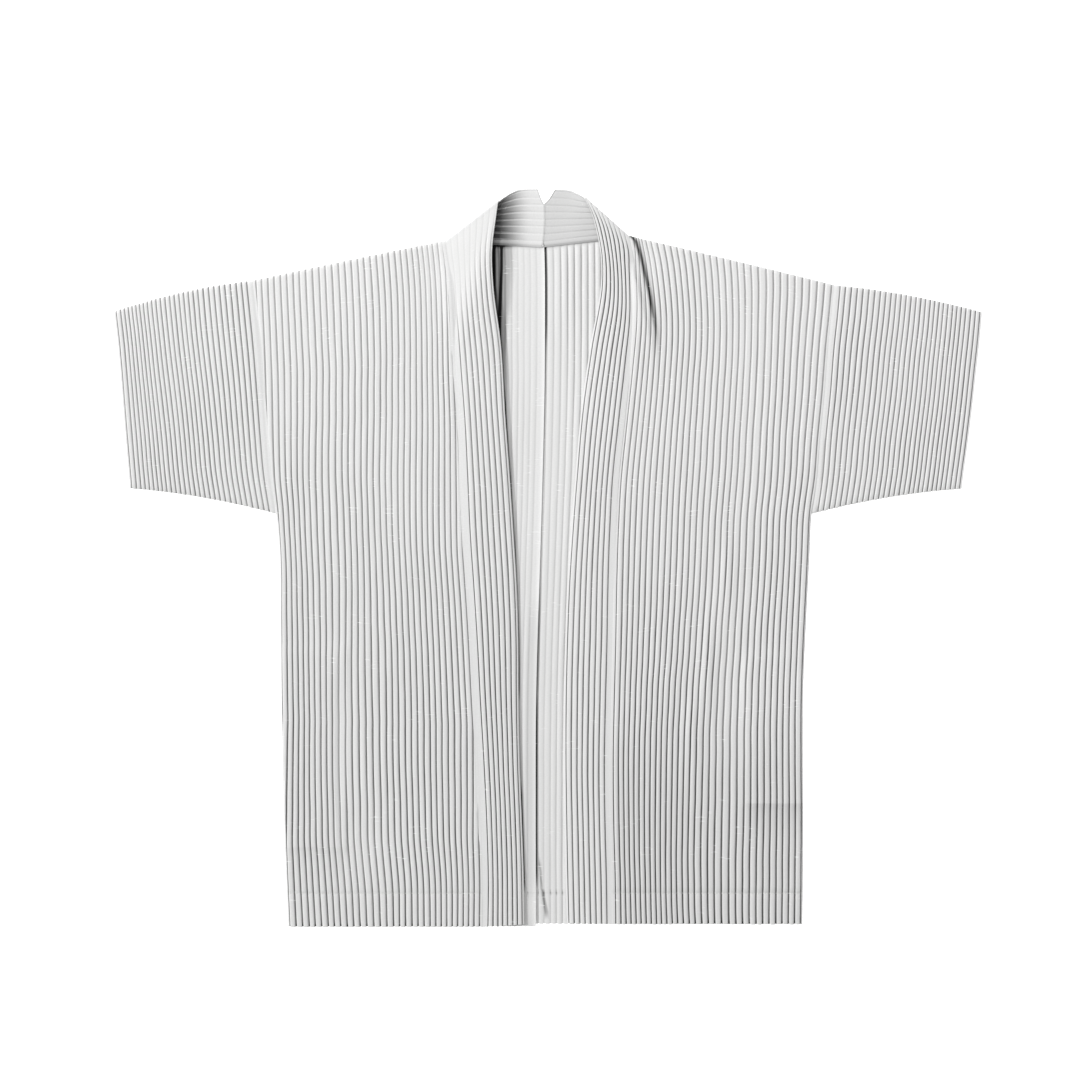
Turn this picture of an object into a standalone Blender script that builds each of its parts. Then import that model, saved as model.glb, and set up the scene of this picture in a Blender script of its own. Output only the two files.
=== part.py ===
"""Pleated open-front jacket of kimono cut, laid flat on a surface.

The cloth is built as the maker cut it: two backs with a centre seam, two fronts, two sleeves
folded along the top, a collar band in two halves that folds over at the neck, and two pocket
bags between front and back. Every piece is a wall with its heat-set pleats raised in the outer
points over a plain inside.

Frame: metres, +Z up. The garment lies on z = 0 with the neck towards +Y, and the origin is the
centre of its outline on that plane. "Left" is the side at -X, seen from above.
"""

from collections import namedtuple
from math import cos, hypot, pi, sin

import bmesh
import bpy
from mathutils import Vector

MM = 0.001

# Driving dimensions, in millimetres.
WALL = 1.2             # cloth wall between pleats
PLEAT_RISE = 1.0       # height of a pleat's ridge over its groove
SEAM_GAP = 0.3         # clear space between two pieces at a seam
LAYER_Z = WALL + PLEAT_RISE + SEAM_GAP    # underside of the cloth that lies on the back
RIDGE_AT = 0.32        # where the ridge stands in a pleat: the slope to the left is the steep one
PITCH_UNEVEN = 0.09    # how much the pleats' widths vary
SEAM_STRIP = 4.5       # smooth pressed strip beside an armhole or band seam
SIDE_STRIP = 2.5       # the same beside a side seam, cuff or centre-back seam

FRONT_PLEATS = 31
BACK_PLEATS = 33
SLEEVE_PLEATS = 28
BAND_PLEATS = 7
CUFF_PITCH = 4.4       # width of a sleeve's pleat at the cuff
ARMHOLE_PITCH = 5.9    # and at the armhole

BAND_WALL = 1.4
BAND_WIDTH = 46.0
FOLD_STEPS = 4         # facets round the band's fold at the neck
SEAM_FOLD_Z = 3.2      # height of the band's middle over the fold, at its seam
EDGE_FOLD_Z = 7.8      # and at its free edge

BAG_THICK = 1.0
BAG_CORNER = 9.0       # corner radius of a pocket bag
BAG_MARGIN = 1.0       # clear space round a pocket bag in the front's recess
BAG_PLATEAU = 6.0      # how far past a bag the front stays lifted
BAG_RAMP = 12.0        # and the width over which it then comes down
BAG_ROW = 4.0          # a section of the front lies this far past each end of a bag
CORNER_STEPS = 4       # facets round a bag's corner
BAG_LIFT = BAG_THICK + SEAM_GAP

SLEEVE_FOLD = 2.2      # solid width at a sleeve's top fold and underarm seam
SLOT_OVERRUN = 0.04    # how far the sleeve's slot runs out of the cuff and armhole
SLOT_STEPS = 6         # stations along the slot
NECK_RISE = 1.3        # how far a front climbs to the band beside the neck
NECK_FADE_IN = 0.6     # share of the crease over which the climb grows from the shoulder
NECK_FADE_OUT = 0.7    # share of the crease where it starts to fade again

# Sections across a front, from the shoulder to the hem: where each one starts at its left seam
# and ends at its right one. "bow" lifts its middle towards the neck and "lean" carries its
# middle to the right.
Section = namedtuple("Section", "left_x left_y right_x right_y bow lean")

FRONT_LEFT = (
    Section(-309.6, 290.9, -107.0, 333.0, 0.5, 0.0),
    Section(-308.0, 275.4, -104.2, 315.5, 0.5, 0.0),
    Section(-306.4, 259.9, -102.2, 299.8, 0.5, 0.0),
    Section(-302.7, 223.1, -98.7, 253.6, 0.5, 0.3),
    Section(-298.5, 170.6, -95.3, 199.0, 0.4, 0.5),
    Section(-294.9, 123.4, -91.1, 139.1, 0.2, 0.6),
    Section(-291.2, 83.5, -88.5, 81.4, 0.0, 0.6),
    Section(-285.4, 45.7, -85.9, 23.6, 0.0, 0.5),
    Section(-281.9, -2.6, -82.3, -28.9, 0.0, 0.4),
    Section(-281.4, -67.7, -78.6, -86.6, 0.0, 0.0),
    Section(-280.8, -139.1, -75.4, -149.6, 0.0, -0.6),
    Section(-279.3, -212.6, -71.7, -212.6, 0.0, -0.8),
    Section(-277.2, -277.7, -68.6, -277.7, 0.0, 0.6),
    Section(-275.1, -338.6, -67.0, -338.6, 0.0, 2.4),
    Section(-273.0, -387.2, -67.4, -387.2, 0.0, 3.4),
)

FRONT_RIGHT = (
    Section(85.1, 337.8, 300.1, 286.1, 0.5, 0.0),
    Section(87.4, 318.6, 298.8, 272.0, 0.5, 0.0),
    Section(88.2, 299.8, 297.5, 257.8, 0.5, 0.0),
    Section(88.8, 253.6, 293.8, 223.1, 0.5, -0.3),
    Section(84.5, 199.0, 289.6, 170.6, 0.4, -0.5),
    Section(78.2, 139.1, 284.9, 123.4, 0.2, -0.6),
    Section(72.3, 81.4, 281.7, 83.5, 0.0, -0.6),
    Section(69.2, 23.6, 276.5, 45.7, 0.0, -0.5),
    Section(67.6, -28.9, 274.2, -2.6, 0.0, -0.3),
    Section(66.6, -86.6, 270.9, -65.6, 0.0, 0.0),
    Section(65.0, -149.6, 267.8, -139.1, 0.0, 0.3),
    Section(63.9, -212.6, 267.4, -212.6, 0.0, 0.5),
    Section(64.4, -277.7, 267.8, -277.7, 0.0, 0.5),
    Section(66.0, -338.6, 267.4, -338.6, 0.0, 0.4),
    Section(66.6, -384.4, 266.9, -384.4, 0.0, 0.3),
)

# The centre-back seam of each back, at the fronts' sections that the back repeats. The section
# along the shoulder and neckline has its peak at the neck point.
CentreRow = namedtuple("CentreRow", "front_row x y peak")

BACK_LEFT = (
    CentreRow(0, -5.2, 326.4, 15.9),
    CentreRow(1, -5.2, 306.0, 14.0),
    CentreRow(2, -5.2, 286.0, 11.0),
    CentreRow(3, -5.3, 240.0, 4.0),
    CentreRow(4, -5.4, 182.0, 0.0),
    CentreRow(5, -5.8, 130.0, 0.0),
    CentreRow(6, -6.6, 83.5, 0.0),
    CentreRow(7, -7.6, 40.0, 0.0),
    CentreRow(8, -8.8, -10.0, 0.0),
    CentreRow(10, -12.6, -142.0, 0.0),
    CentreRow(12, -13.2, -277.7, 0.0),
    CentreRow(14, -12.8, -387.2, 0.0),
)

BACK_RIGHT = (
    CentreRow(0, -4.8, 326.4, 22.2),
    CentreRow(1, -4.8, 306.0, 17.0),
    CentreRow(2, -4.8, 286.0, 12.0),
    CentreRow(3, -4.9, 240.0, 4.0),
    CentreRow(4, -5.0, 182.0, 0.0),
    CentreRow(5, -5.4, 130.0, 0.0),
    CentreRow(6, -6.2, 83.5, 0.0),
    CentreRow(7, -7.2, 40.0, 0.0),
    CentreRow(8, -8.4, -10.0, 0.0),
    CentreRow(10, -12.2, -142.0, 0.0),
    CentreRow(12, -12.8, -277.7, 0.0),
    CentreRow(14, -12.4, -384.4, 0.0),
)
NECK_POINT_LEFT = 0.667    # where the neck point stands across each back's top section
NECK_POINT_RIGHT = 0.293

# The cuff of each sleeve, at the fronts' armhole sections.
CuffRow = namedtuple("CuffRow", "x y bow")

SLEEVE_LEFT = (
    CuffRow(-455.2, 258.6, 4.2),
    CuffRow(-453.4, 243.4, 4.0),
    CuffRow(-451.7, 228.6, 3.6),
    CuffRow(-448.8, 197.2, 2.6),
    CuffRow(-445.5, 156.0, 1.8),
    CuffRow(-442.6, 120.4, 1.2),
    CuffRow(-440.2, 92.6, 1.6),
    CuffRow(-438.5, 72.4, 3.6),
)

SLEEVE_RIGHT = (
    CuffRow(455.2, 257.8, 3.6),
    CuffRow(454.0, 243.0, 3.4),
    CuffRow(452.7, 228.4, 3.0),
    CuffRow(449.2, 197.2, 2.2),
    CuffRow(444.6, 156.0, 1.6),
    CuffRow(440.2, 120.4, 1.4),
    CuffRow(436.4, 92.6, 2.0),
    CuffRow(433.6, 71.9, 3.8),
)

# The part of the collar band that stands behind the neck, from the centre-back seam to the fold.
NeckRow = namedtuple("NeckRow", "seam_x seam_y edge_x edge_y bow ridge")

NECK_LEFT = (
    NeckRow(-5.5, 327.1, -11.0, 387.2, 2.5, 1.0),
    NeckRow(-31.5, 328.4, -29.5, 386.3, 0.5, 0.9),
    NeckRow(-62.0, 330.0, -40.5, 381.6, 0.0, 0.5),
    NeckRow(-88.0, 331.2, -46.0, 376.6, 0.0, 0.0),
)

NECK_RIGHT = (
    NeckRow(-4.8, 327.1, 7.4, 386.6, -3.5, 1.0),
    NeckRow(12.6, 329.1, 21.5, 385.6, -0.5, 0.9),
    NeckRow(38.0, 332.1, 29.5, 382.4, 0.0, 0.5),
    NeckRow(63.0, 335.0, 33.5, 379.2, 0.0, 0.0),
)

# The line that each half of the band folds over, from its seam to its free edge.
FoldLine = namedtuple("FoldLine", "seam_x seam_y edge_x edge_y")
FOLD_LEFT = FoldLine(-106.1, 332.3, -52.6, 373.6)
FOLD_RIGHT = FoldLine(84.0, 337.6, 38.6, 377.6)

# The free edge of the band down each front, at the front's sections after the first.
EdgeRow = namedtuple("EdgeRow", "seam_z x y z")

EDGE_LEFT = (
    EdgeRow(3.3, -54.6, 355.0, 8.2),
    EdgeRow(3.4, -57.8, 331.0, 8.2),
    EdgeRow(3.5, -57.4, 287.0, 7.6),
    EdgeRow(3.5, -48.8, 222.0, 6.2),
    EdgeRow(3.3, -43.0, 152.0, 5.0),
    EdgeRow(3.2, -38.8, 86.0, 4.2),
    EdgeRow(3.2, -34.4, 25.0, 3.8),
    EdgeRow(3.2, -30.4, -28.9, 3.5),
    EdgeRow(3.2, -27.4, -86.6, 3.3),
    EdgeRow(3.2, -25.2, -149.6, 3.2),
    EdgeRow(3.2, -24.3, -212.6, 3.2),
    EdgeRow(3.2, -24.2, -277.7, 3.2),
    EdgeRow(3.2, -24.2, -338.6, 3.2),
    EdgeRow(3.2, -24.2, -384.6, 3.2),
)

EDGE_RIGHT = (
    EdgeRow(3.3, 45.5, 361.0, 7.8),
    EdgeRow(3.4, 52.2, 336.0, 7.6),
    EdgeRow(3.5, 55.8, 292.0, 6.8),
    EdgeRow(3.5, 44.5, 222.0, 5.6),
    EdgeRow(3.3, 34.6, 152.0, 4.6),
    EdgeRow(3.2, 28.6, 84.0, 4.0),
    EdgeRow(3.2, 24.0, 24.0, 3.6),
    EdgeRow(3.2, 20.6, -28.9, 3.4),
    EdgeRow(3.2, 18.4, -86.6, 3.2),
    EdgeRow(3.2, 17.0, -149.6, 3.2),
    EdgeRow(3.2, 16.8, -212.6, 3.2),
    EdgeRow(3.2, 17.6, -277.7, 3.2),
    EdgeRow(3.2, 18.7, -338.6, 3.2),
    EdgeRow(3.2, 19.9, -383.2, 3.2),
)

# Pocket bags, sewn into the side seams between front and back.
Bag = namedtuple("Bag", "low_x low_y high_x high_y")
BAG_LEFT = Bag(-276.0, -303.0, -214.0, -97.0)
BAG_RIGHT = Bag(209.0, -257.0, 263.0, -104.0)

# The crease that leaves each neck point and marks where the front starts to climb to the band.
Crease = namedtuple("Crease", "top_x top_y end_x end_y")
CREASE_LEFT = Crease(-118.0, 333.0, -112.0, 236.0)
CREASE_RIGHT = Crease(96.0, 333.0, 112.0, 212.0)

CLOTH = (0.86, 0.855, 0.84)
CLOTH_BACK = (0.80, 0.795, 0.785)
CLOTH_BAG = (0.84, 0.835, 0.82)
CLOTH_ROUGHNESS = 0.72


def cloth_material(name, colour):
    """Matt pleated polyester in one colour."""
    material = bpy.data.materials.new(name)
    material.use_nodes = True
    shader = material.node_tree.nodes["Principled BSDF"]
    shader.inputs["Base Color"].default_value = (*colour, 1.0)
    shader.inputs["Roughness"].default_value = CLOTH_ROUGHNESS
    shader.inputs["Metallic"].default_value = 0.0
    return material


def mix(low, high, share):
    """The value at a share of the way from low to high."""
    return low + (high - low) * share


def smooth_step(value):
    """Eased 0 to 1."""
    value = min(max(value, 0.0), 1.0)
    return value * value * (3.0 - 2.0 * value)


def pleat_columns(count, width, left_strip, right_strip, first_pitch=1.0, last_pitch=1.0):
    """Stations across a panel as (share of its width, 1 on a ridge or 0 in a groove)."""
    pitches = [
        mix(first_pitch, last_pitch, index / (count - 1)) * (1.0 + PITCH_UNEVEN * sin(2.4 * index))
        for index in range(count)
    ]
    span = 1.0 - (left_strip + right_strip) / width
    place = left_strip / width
    columns = [(0.0, 0.0), (place, 0.0)]
    for pitch in pitches:
        step = span * pitch / sum(pitches)
        columns.append((place + RIDGE_AT * step, 1.0))
        place += step
        columns.append((place, 0.0))
    columns.append((1.0, 0.0))
    return columns


def section_point(section, share, peak=None):
    """A point on a section: straight from seam to seam, with its bow and lean added."""
    if peak is None:
        arch = 4.0 * share * (1.0 - share)
    else:
        arch = min(share / peak, (1.0 - share) / (1.0 - peak))
    x = mix(section.left_x, section.right_x, share) + section.lean * arch
    y = mix(section.left_y, section.right_y, share) + section.bow * arch
    return x, y


def with_stops(sections, stops, side):
    """Add sections where the named side reaches each stop's y, so that a lift can start there."""
    rows = list(sections)
    for stop in stops:
        for index in range(len(rows) - 1):
            high = getattr(rows[index], side)
            low = getattr(rows[index + 1], side)
            if low < stop < high:
                share = (high - stop) / (high - low)
                between = [mix(a, b, share) for a, b in zip(rows[index], rows[index + 1])]
                rows.insert(index + 1, Section(*between))
                break
    return rows


def grid_solid(name, columns, rows, upper, lower, flat_under):
    """Closed wall between two surfaces on one grid; upper and lower give a point in mm."""
    mesh_data = bmesh.new()
    bmesh.ops.create_grid(mesh_data, x_segments=columns - 1, y_segments=rows - 1, size=1.0)
    under_faces = mesh_data.faces[:]
    under = mesh_data.verts[:]
    raised = bmesh.ops.extrude_face_region(mesh_data, geom=under_faces, use_keep_orig=True)
    over = [item for item in raised["geom"] if isinstance(item, bmesh.types.BMVert)]
    for verts, surface in ((over, upper), (under, lower)):
        for vert in verts:
            column = round((vert.co.x + 1.0) / 2.0 * (columns - 1))
            row = round((1.0 - vert.co.y) / 2.0 * (rows - 1))
            vert.co = Vector(surface(row, column)) * MM
    if flat_under:
        bmesh.ops.dissolve_faces(mesh_data, faces=under_faces, use_verts=False)
    bmesh.ops.recalc_face_normals(mesh_data, faces=mesh_data.faces[:])
    mesh = bpy.data.meshes.new(name)
    mesh_data.to_mesh(mesh)
    mesh_data.free()
    return bpy.data.objects.new(name, mesh)


def panel(name, sections, columns, z_under, wall, lift=None, peak=None):
    """A pleated panel over a flat underside; lift(x, y) raises its top further."""

    def upper(row, column):
        share, ridge = columns[column]
        x, y = section_point(sections[row], share, peak)
        z = z_under + wall + PLEAT_RISE * ridge
        return x, y, z + (lift(x, y) if lift else 0.0)

    def lower(row, column):
        x, y = section_point(sections[row], columns[column][0], peak)
        return x, y, z_under

    return grid_solid(name, len(columns), len(sections), upper, lower, flat_under=True)


def bag_lift(bag, x, y):
    """How far the front is lifted by a pocket bag under it."""
    gap_x = max(bag.low_x - x, x - bag.high_x, 0.0)
    gap_y = max(bag.low_y - y, y - bag.high_y, 0.0)
    return BAG_LIFT * (1.0 - smooth_step((hypot(gap_x, gap_y) - BAG_PLATEAU) / BAG_RAMP))


def neck_lift(crease, seam_x, x, y):
    """How far the front climbs from its crease to the band's seam beside the neck."""
    down = (crease.top_y - y) / (crease.top_y - crease.end_y)
    crease_x = mix(crease.top_x, crease.end_x, min(max(down, 0.0), 1.0))
    across = (x - crease_x) / (seam_x - crease_x)
    fade = smooth_step(down / NECK_FADE_IN) * (1.0 - smooth_step((down - NECK_FADE_OUT) / NECK_FADE_OUT))
    return NECK_RISE * smooth_step(across) * fade


def rounded_plate(name, bag, margin, z_low, z_high):
    """A pocket bag's outline as a filled curve, grown by a margin and made a welded mesh."""
    radius = BAG_CORNER + margin
    corners = (
        (bag.high_x + margin - radius, bag.high_y + margin - radius, 0.0),
        (bag.low_x - margin + radius, bag.high_y + margin - radius, 0.5 * pi),
        (bag.low_x - margin + radius, bag.low_y - margin + radius, pi),
        (bag.high_x + margin - radius, bag.low_y - margin + radius, 1.5 * pi),
    )
    points = []
    for centre_x, centre_y, start in corners:
        for step in range(CORNER_STEPS + 1):
            angle = start + 0.5 * pi * step / CORNER_STEPS
            points.append((centre_x + radius * cos(angle), centre_y + radius * sin(angle)))
    curve = bpy.data.curves.new(name + "_outline", "CURVE")
    curve.dimensions = "2D"
    curve.fill_mode = "BOTH"
    curve.extrude = (z_high - z_low) / 2.0 * MM
    spline = curve.splines.new("POLY")
    spline.points.add(len(points) - 1)
    for point, (x, y) in zip(spline.points, points):
        point.co = (x * MM, y * MM, 0.0, 1.0)
    spline.use_cyclic_u = True
    outline = bpy.data.objects.new(name + "_outline", curve)
    bpy.context.scene.collection.objects.link(outline)
    shape = outline.evaluated_get(bpy.context.evaluated_depsgraph_get())
    mesh = bpy.data.meshes.new_from_object(shape)
    bpy.data.objects.remove(outline)
    mesh.name = name
    welded = bmesh.new()
    welded.from_mesh(mesh)
    bmesh.ops.remove_doubles(welded, verts=welded.verts[:], dist=0.00001)
    bmesh.ops.recalc_face_normals(welded, faces=welded.faces[:])
    welded.to_mesh(mesh)
    welded.free()
    plate = bpy.data.objects.new(name, mesh)
    plate.location.z = (z_low + z_high) / 2.0 * MM
    return plate


def cut(piece, cutter, cutters):
    """Take the cutter's shape out of a piece."""
    cutters.objects.link(cutter)
    cutter.hide_render = True
    cutter.display_type = "WIRE"
    boolean = piece.modifiers.new("cut", "BOOLEAN")
    boolean.operation = "DIFFERENCE"
    boolean.solver = "EXACT"
    boolean.object = cutter


def front(name, sections, bag, crease, bag_side, band_side, cutters):
    """A front: pleated, climbing to the band at the neck and lifted over its pocket bag."""
    stops = (bag.high_y + BAG_ROW + BAG_RAMP, bag.high_y + BAG_ROW, bag.low_y - BAG_ROW,
             bag.low_y - BAG_PLATEAU - BAG_RAMP)
    rows = with_stops(sections, stops, bag_side + "_y")
    width = sections[0].right_x - sections[0].left_x
    columns = pleat_columns(FRONT_PLEATS, width, SEAM_STRIP, SEAM_STRIP)
    seam_x = getattr(sections[2], band_side + "_x")

    def lift(x, y):
        return max(bag_lift(bag, x, y), neck_lift(crease, seam_x, x, y))

    piece = panel(name, rows, columns, LAYER_Z, WALL, lift)
    recess = rounded_plate(name + "_recess", bag, BAG_MARGIN, LAYER_Z - BAG_LIFT, LAYER_Z + BAG_LIFT)
    cut(piece, recess, cutters)
    return piece


def back(name, centre_rows, front_sections, centre_side, peak):
    """A back: the front's outer edge again, and its own centre seam and neckline."""
    sections = []
    for row in centre_rows:
        outer = front_sections[row.front_row]
        if centre_side == "right":
            sections.append(Section(outer.left_x, outer.left_y, row.x, row.y, row.peak, 0.0))
        else:
            sections.append(Section(row.x, row.y, outer.right_x, outer.right_y, row.peak, 0.0))
    width = sections[0].right_x - sections[0].left_x
    columns = pleat_columns(BACK_PLEATS, width, SIDE_STRIP, SIDE_STRIP)
    return panel(name, sections, columns, 0.0, WALL, peak=peak)


def sleeve(name, cuff_rows, front_sections, cuff_side, cutters):
    """A sleeve: a flat tube, closed at its top fold and underarm seam, open at cuff and armhole."""
    sections = []
    for cuff, body in zip(cuff_rows, front_sections):
        if cuff_side == "left":
            seam_x = body.left_x - 2.0 * SEAM_GAP
            sections.append(Section(cuff.x, cuff.y, seam_x, body.left_y, cuff.bow, 0.0))
        else:
            seam_x = body.right_x + 2.0 * SEAM_GAP
            sections.append(Section(seam_x, body.right_y, cuff.x, cuff.y, cuff.bow, 0.0))
    width = sections[0].right_x - sections[0].left_x
    if cuff_side == "left":
        columns = pleat_columns(SLEEVE_PLEATS, width, SIDE_STRIP, SEAM_STRIP, CUFF_PITCH, ARMHOLE_PITCH)
    else:
        columns = pleat_columns(SLEEVE_PLEATS, width, SEAM_STRIP, SIDE_STRIP, ARMHOLE_PITCH, CUFF_PITCH)
    piece = panel(name, sections, columns, 0.0, LAYER_Z + WALL)

    inner = list(sections)
    inner[0] = shifted(inner[0], -SLEEVE_FOLD)
    inner[-1] = shifted(inner[-1], SLEEVE_FOLD)
    shares = [mix(-SLOT_OVERRUN, 1.0 + SLOT_OVERRUN, index / SLOT_STEPS) for index in range(SLOT_STEPS + 1)]

    def slot_surface(z):
        return lambda row, column: (*section_point(inner[row], shares[column]), z)

    slot = grid_solid(
        name + "_slot", len(shares), len(inner), slot_surface(LAYER_Z), slot_surface(WALL), True
    )
    cut(piece, slot, cutters)
    return piece


def shifted(section, dy):
    """The same section moved along y."""
    return section._replace(left_y=section.left_y + dy, right_y=section.right_y + dy)


def fold_rows(line):
    """Rows of the band's middle round its fold, from the lower layer up to the upper one."""
    low_z = BAND_WALL / 2.0
    along = Vector((line.edge_x - line.seam_x, line.edge_y - line.seam_y)).normalized()
    outward = Vector((-along.y, along.x))
    if outward.y < 0.0:
        outward.negate()
    rows = []
    for step in range(FOLD_STEPS + 1):
        angle = pi * step / FOLD_STEPS
        ends = []
        for x, y, high_z in (
            (line.seam_x, line.seam_y, SEAM_FOLD_Z),
            (line.edge_x, line.edge_y, EDGE_FOLD_Z),
        ):
            radius = (high_z - low_z) / 2.0
            reach = radius * (sin(angle) - 1.0)
            ends.append(Vector((x + outward.x * reach, y + outward.y * reach,
                                low_z + radius * (1.0 - cos(angle)))))
        rows.append((*ends, 0.0, 0.0, 0.0))
    return rows


def band(name, neck_rows, line, edge_rows, front_sections, seam_side):
    """A half of the collar band: behind the neck, over the fold and down the front."""
    low_z = BAND_WALL / 2.0
    rows = []
    for row in neck_rows:
        seam = Vector((row.seam_x, row.seam_y, low_z))
        edge = Vector((row.edge_x, row.edge_y, low_z))
        rows.append((seam, edge, row.bow, 0.0, row.ridge))
    rows += fold_rows(line)
    for row, body in zip(edge_rows, front_sections[1:]):
        if seam_side == "right":
            seam = Vector((body.right_x + SEAM_GAP, body.right_y, row.seam_z))
        else:
            seam = Vector((body.left_x - SEAM_GAP, body.left_y, row.seam_z))
        rows.append((seam, Vector((row.x, row.y, row.z)), 0.0, 1.0, 0.0))
    columns = pleat_columns(BAND_PLEATS, BAND_WIDTH, SEAM_STRIP, SIDE_STRIP)

    def middle(row, column):
        seam, edge, bow, _, _ = rows[row]
        share = columns[column][0]
        point = seam.lerp(edge, share)
        point.x += bow * 4.0 * share * (1.0 - share)
        return point

    def outward(row, column):
        last_row = len(rows) - 1
        last_column = len(columns) - 1
        along = middle(min(row + 1, last_row), column) - middle(max(row - 1, 0), column)
        across = middle(row, min(column + 1, last_column)) - middle(row, max(column - 1, 0))
        normal = along.cross(across).normalized()
        return normal if seam_side == "right" else -normal

    def outer(row, column):
        rise = BAND_WALL / 2.0 + PLEAT_RISE * columns[column][1] * rows[row][3]
        return middle(row, column) + outward(row, column) * rise

    def inner(row, column):
        rise = BAND_WALL / 2.0 + PLEAT_RISE * columns[column][1] * rows[row][4]
        return middle(row, column) - outward(row, column) * rise

    return grid_solid(name, len(columns), len(rows), outer, inner, flat_under=False)


def main():
    """Build every piece of the jacket."""
    for leftover in list(bpy.data.objects):
        bpy.data.objects.remove(leftover)
    scene = bpy.context.scene.collection
    jacket = bpy.data.collections.new("pleated_jacket")
    cutters = bpy.data.collections.new("cutters")
    scene.children.link(jacket)
    scene.children.link(cutters)
    holder = bpy.data.objects.new("jacket", None)
    jacket.objects.link(holder)

    bag_z = (LAYER_Z, LAYER_Z + BAG_THICK)
    pieces = (
        (back("back_left", BACK_LEFT, FRONT_LEFT, "right", NECK_POINT_LEFT), CLOTH_BACK),
        (back("back_right", BACK_RIGHT, FRONT_RIGHT, "left", NECK_POINT_RIGHT), CLOTH_BACK),
        (rounded_plate("pocket_bag_left", BAG_LEFT, 0.0, *bag_z), CLOTH_BAG),
        (rounded_plate("pocket_bag_right", BAG_RIGHT, 0.0, *bag_z), CLOTH_BAG),
        (front("front_left", FRONT_LEFT, BAG_LEFT, CREASE_LEFT, "left", "right", cutters), CLOTH),
        (front("front_right", FRONT_RIGHT, BAG_RIGHT, CREASE_RIGHT, "right", "left", cutters), CLOTH),
        (sleeve("sleeve_left", SLEEVE_LEFT, FRONT_LEFT, "left", cutters), CLOTH),
        (sleeve("sleeve_right", SLEEVE_RIGHT, FRONT_RIGHT, "right", cutters), CLOTH),
        (band("band_left", NECK_LEFT, FOLD_LEFT, EDGE_LEFT, FRONT_LEFT, "right"), CLOTH),
        (band("band_right", NECK_RIGHT, FOLD_RIGHT, EDGE_RIGHT, FRONT_RIGHT, "left"), CLOTH),
    )
    for piece, colour in pieces:
        piece.data.materials.append(cloth_material(piece.name + "_cloth", colour))
        piece.parent = holder
        jacket.objects.link(piece)


main()
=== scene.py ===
"""Looks of a pleated open-front jacket laid flat: cloth, stitching, finishes, light and camera.

Lengths are in millimetres in the frame of the solids: +X to the viewer's right, +Y from hem to
neck, +Z up from the surface. They are turned to metres where a mesh is made. Each cut piece of
the jacket is one closed shell of thin cloth with its pleats in the mesh, and takes the place of
its plain solid.
"""

import logging
from dataclasses import dataclass
from enum import Enum
from math import pi, radians
from typing import NamedTuple

import bpy
import numpy as np
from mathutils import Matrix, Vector


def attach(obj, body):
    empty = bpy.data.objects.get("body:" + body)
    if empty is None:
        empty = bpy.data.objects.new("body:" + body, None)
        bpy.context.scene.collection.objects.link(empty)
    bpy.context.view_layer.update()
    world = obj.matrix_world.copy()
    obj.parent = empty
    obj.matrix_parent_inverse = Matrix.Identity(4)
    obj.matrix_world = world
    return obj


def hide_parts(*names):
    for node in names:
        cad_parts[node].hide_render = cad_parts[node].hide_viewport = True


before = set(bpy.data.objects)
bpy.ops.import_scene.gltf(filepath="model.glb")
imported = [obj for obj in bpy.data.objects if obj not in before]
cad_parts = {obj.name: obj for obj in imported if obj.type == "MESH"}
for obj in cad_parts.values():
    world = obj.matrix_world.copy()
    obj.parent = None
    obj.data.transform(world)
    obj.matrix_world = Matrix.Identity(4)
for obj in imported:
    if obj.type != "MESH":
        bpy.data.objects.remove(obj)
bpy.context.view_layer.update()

LOG = logging.getLogger("jacket")
MM = 0.001

# The photograph's frame: millimetres to a pixel, and the pixel of the garment's origin.
PIXEL = 1.05
ORIGIN_PX = (548.0, 557.5)
FRAME_PX = 1080

# Cloth and its layers.
CLOTH = 0.5            # thickness of the shell of cloth
REST_Z = 0.05          # lowest point of the cloth that lies on the surface
FRONT_Z = 2.45         # underside of the fronts and of the sleeves' upper layer
BACK_RELIEF = 1.3      # height of a ridge over its groove on the backs
FRONT_RELIEF = 2.2     # and on the fronts, sleeves and bands
EDGE_ROUND = 3.5       # width over which an edge rolls down to the layer below
ARMHOLE_STRIP = 6.5    # smooth pressed strip of a sleeve along its armhole
FRONT_STRIP = 2.0      # the same on the front's side of that seam
SEAM_STRIP = 4.5       # and on both sides of the band's seam
SIDE_STRIP = 2.0       # and at side seams, cuffs and the centre back
TUCK = 1.6             # how far one edge runs under the other at a seam
TUCK_FALL = 0.7        # how far the cloth sinks where it is tucked under
SHOULDER_FALL = 1.7    # how far a front rolls down at the shoulder
SIDE_FALL = 1.9        # and at its side seam, below the sleeve
EDGE_LEVEL = 0.55      # relief at which a cut edge runs neither out nor in
STRIP_RELIEF = 0.72    # height of a pressed strip, against that of a ridge
BAG_LIFT = 1.3         # how far a front is lifted by the pocket bag under it
NECK_RISE = 1.3        # and by the neck seam beside the neck
CALM_X = -14.0         # where the back's pleats are flattest
HEM_STITCH_Y = -352.0  # the stitch line of the hem's turn-up
CENTRE_STRIP = 8.5     # smooth strip of the left back along the centre-back seam
STRIP_STEPS = (0.0, 0.25, 0.55, 0.85)    # points across a strip, as shares of its width
PRESSED = 0.004        # width that is left of pleats that have run out, as a share
# The grooves also get more painted shade over this distance.
DEEPEN = 620.0         # distance from the shoulder over which the grooves grow deeper and darker
BACK_ROWS = 84
FRONT_ROWS = 100
SLEEVE_ROWS = 44


class Section(NamedTuple):
    """A line across a front: its left and right ends, its bow to the neck and lean to the right."""

    left_x: float
    left_y: float
    right_x: float
    right_y: float
    bow: float
    lean: float


class CentreRow(NamedTuple):
    """A point of the centre-back seam, level with a section of the front."""

    front_row: int
    x: float
    y: float
    peak: float


class CuffRow(NamedTuple):
    """A point of a cuff, level with a section of the front, and the bow of the line to it."""

    x: float
    y: float
    bow: float


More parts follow.
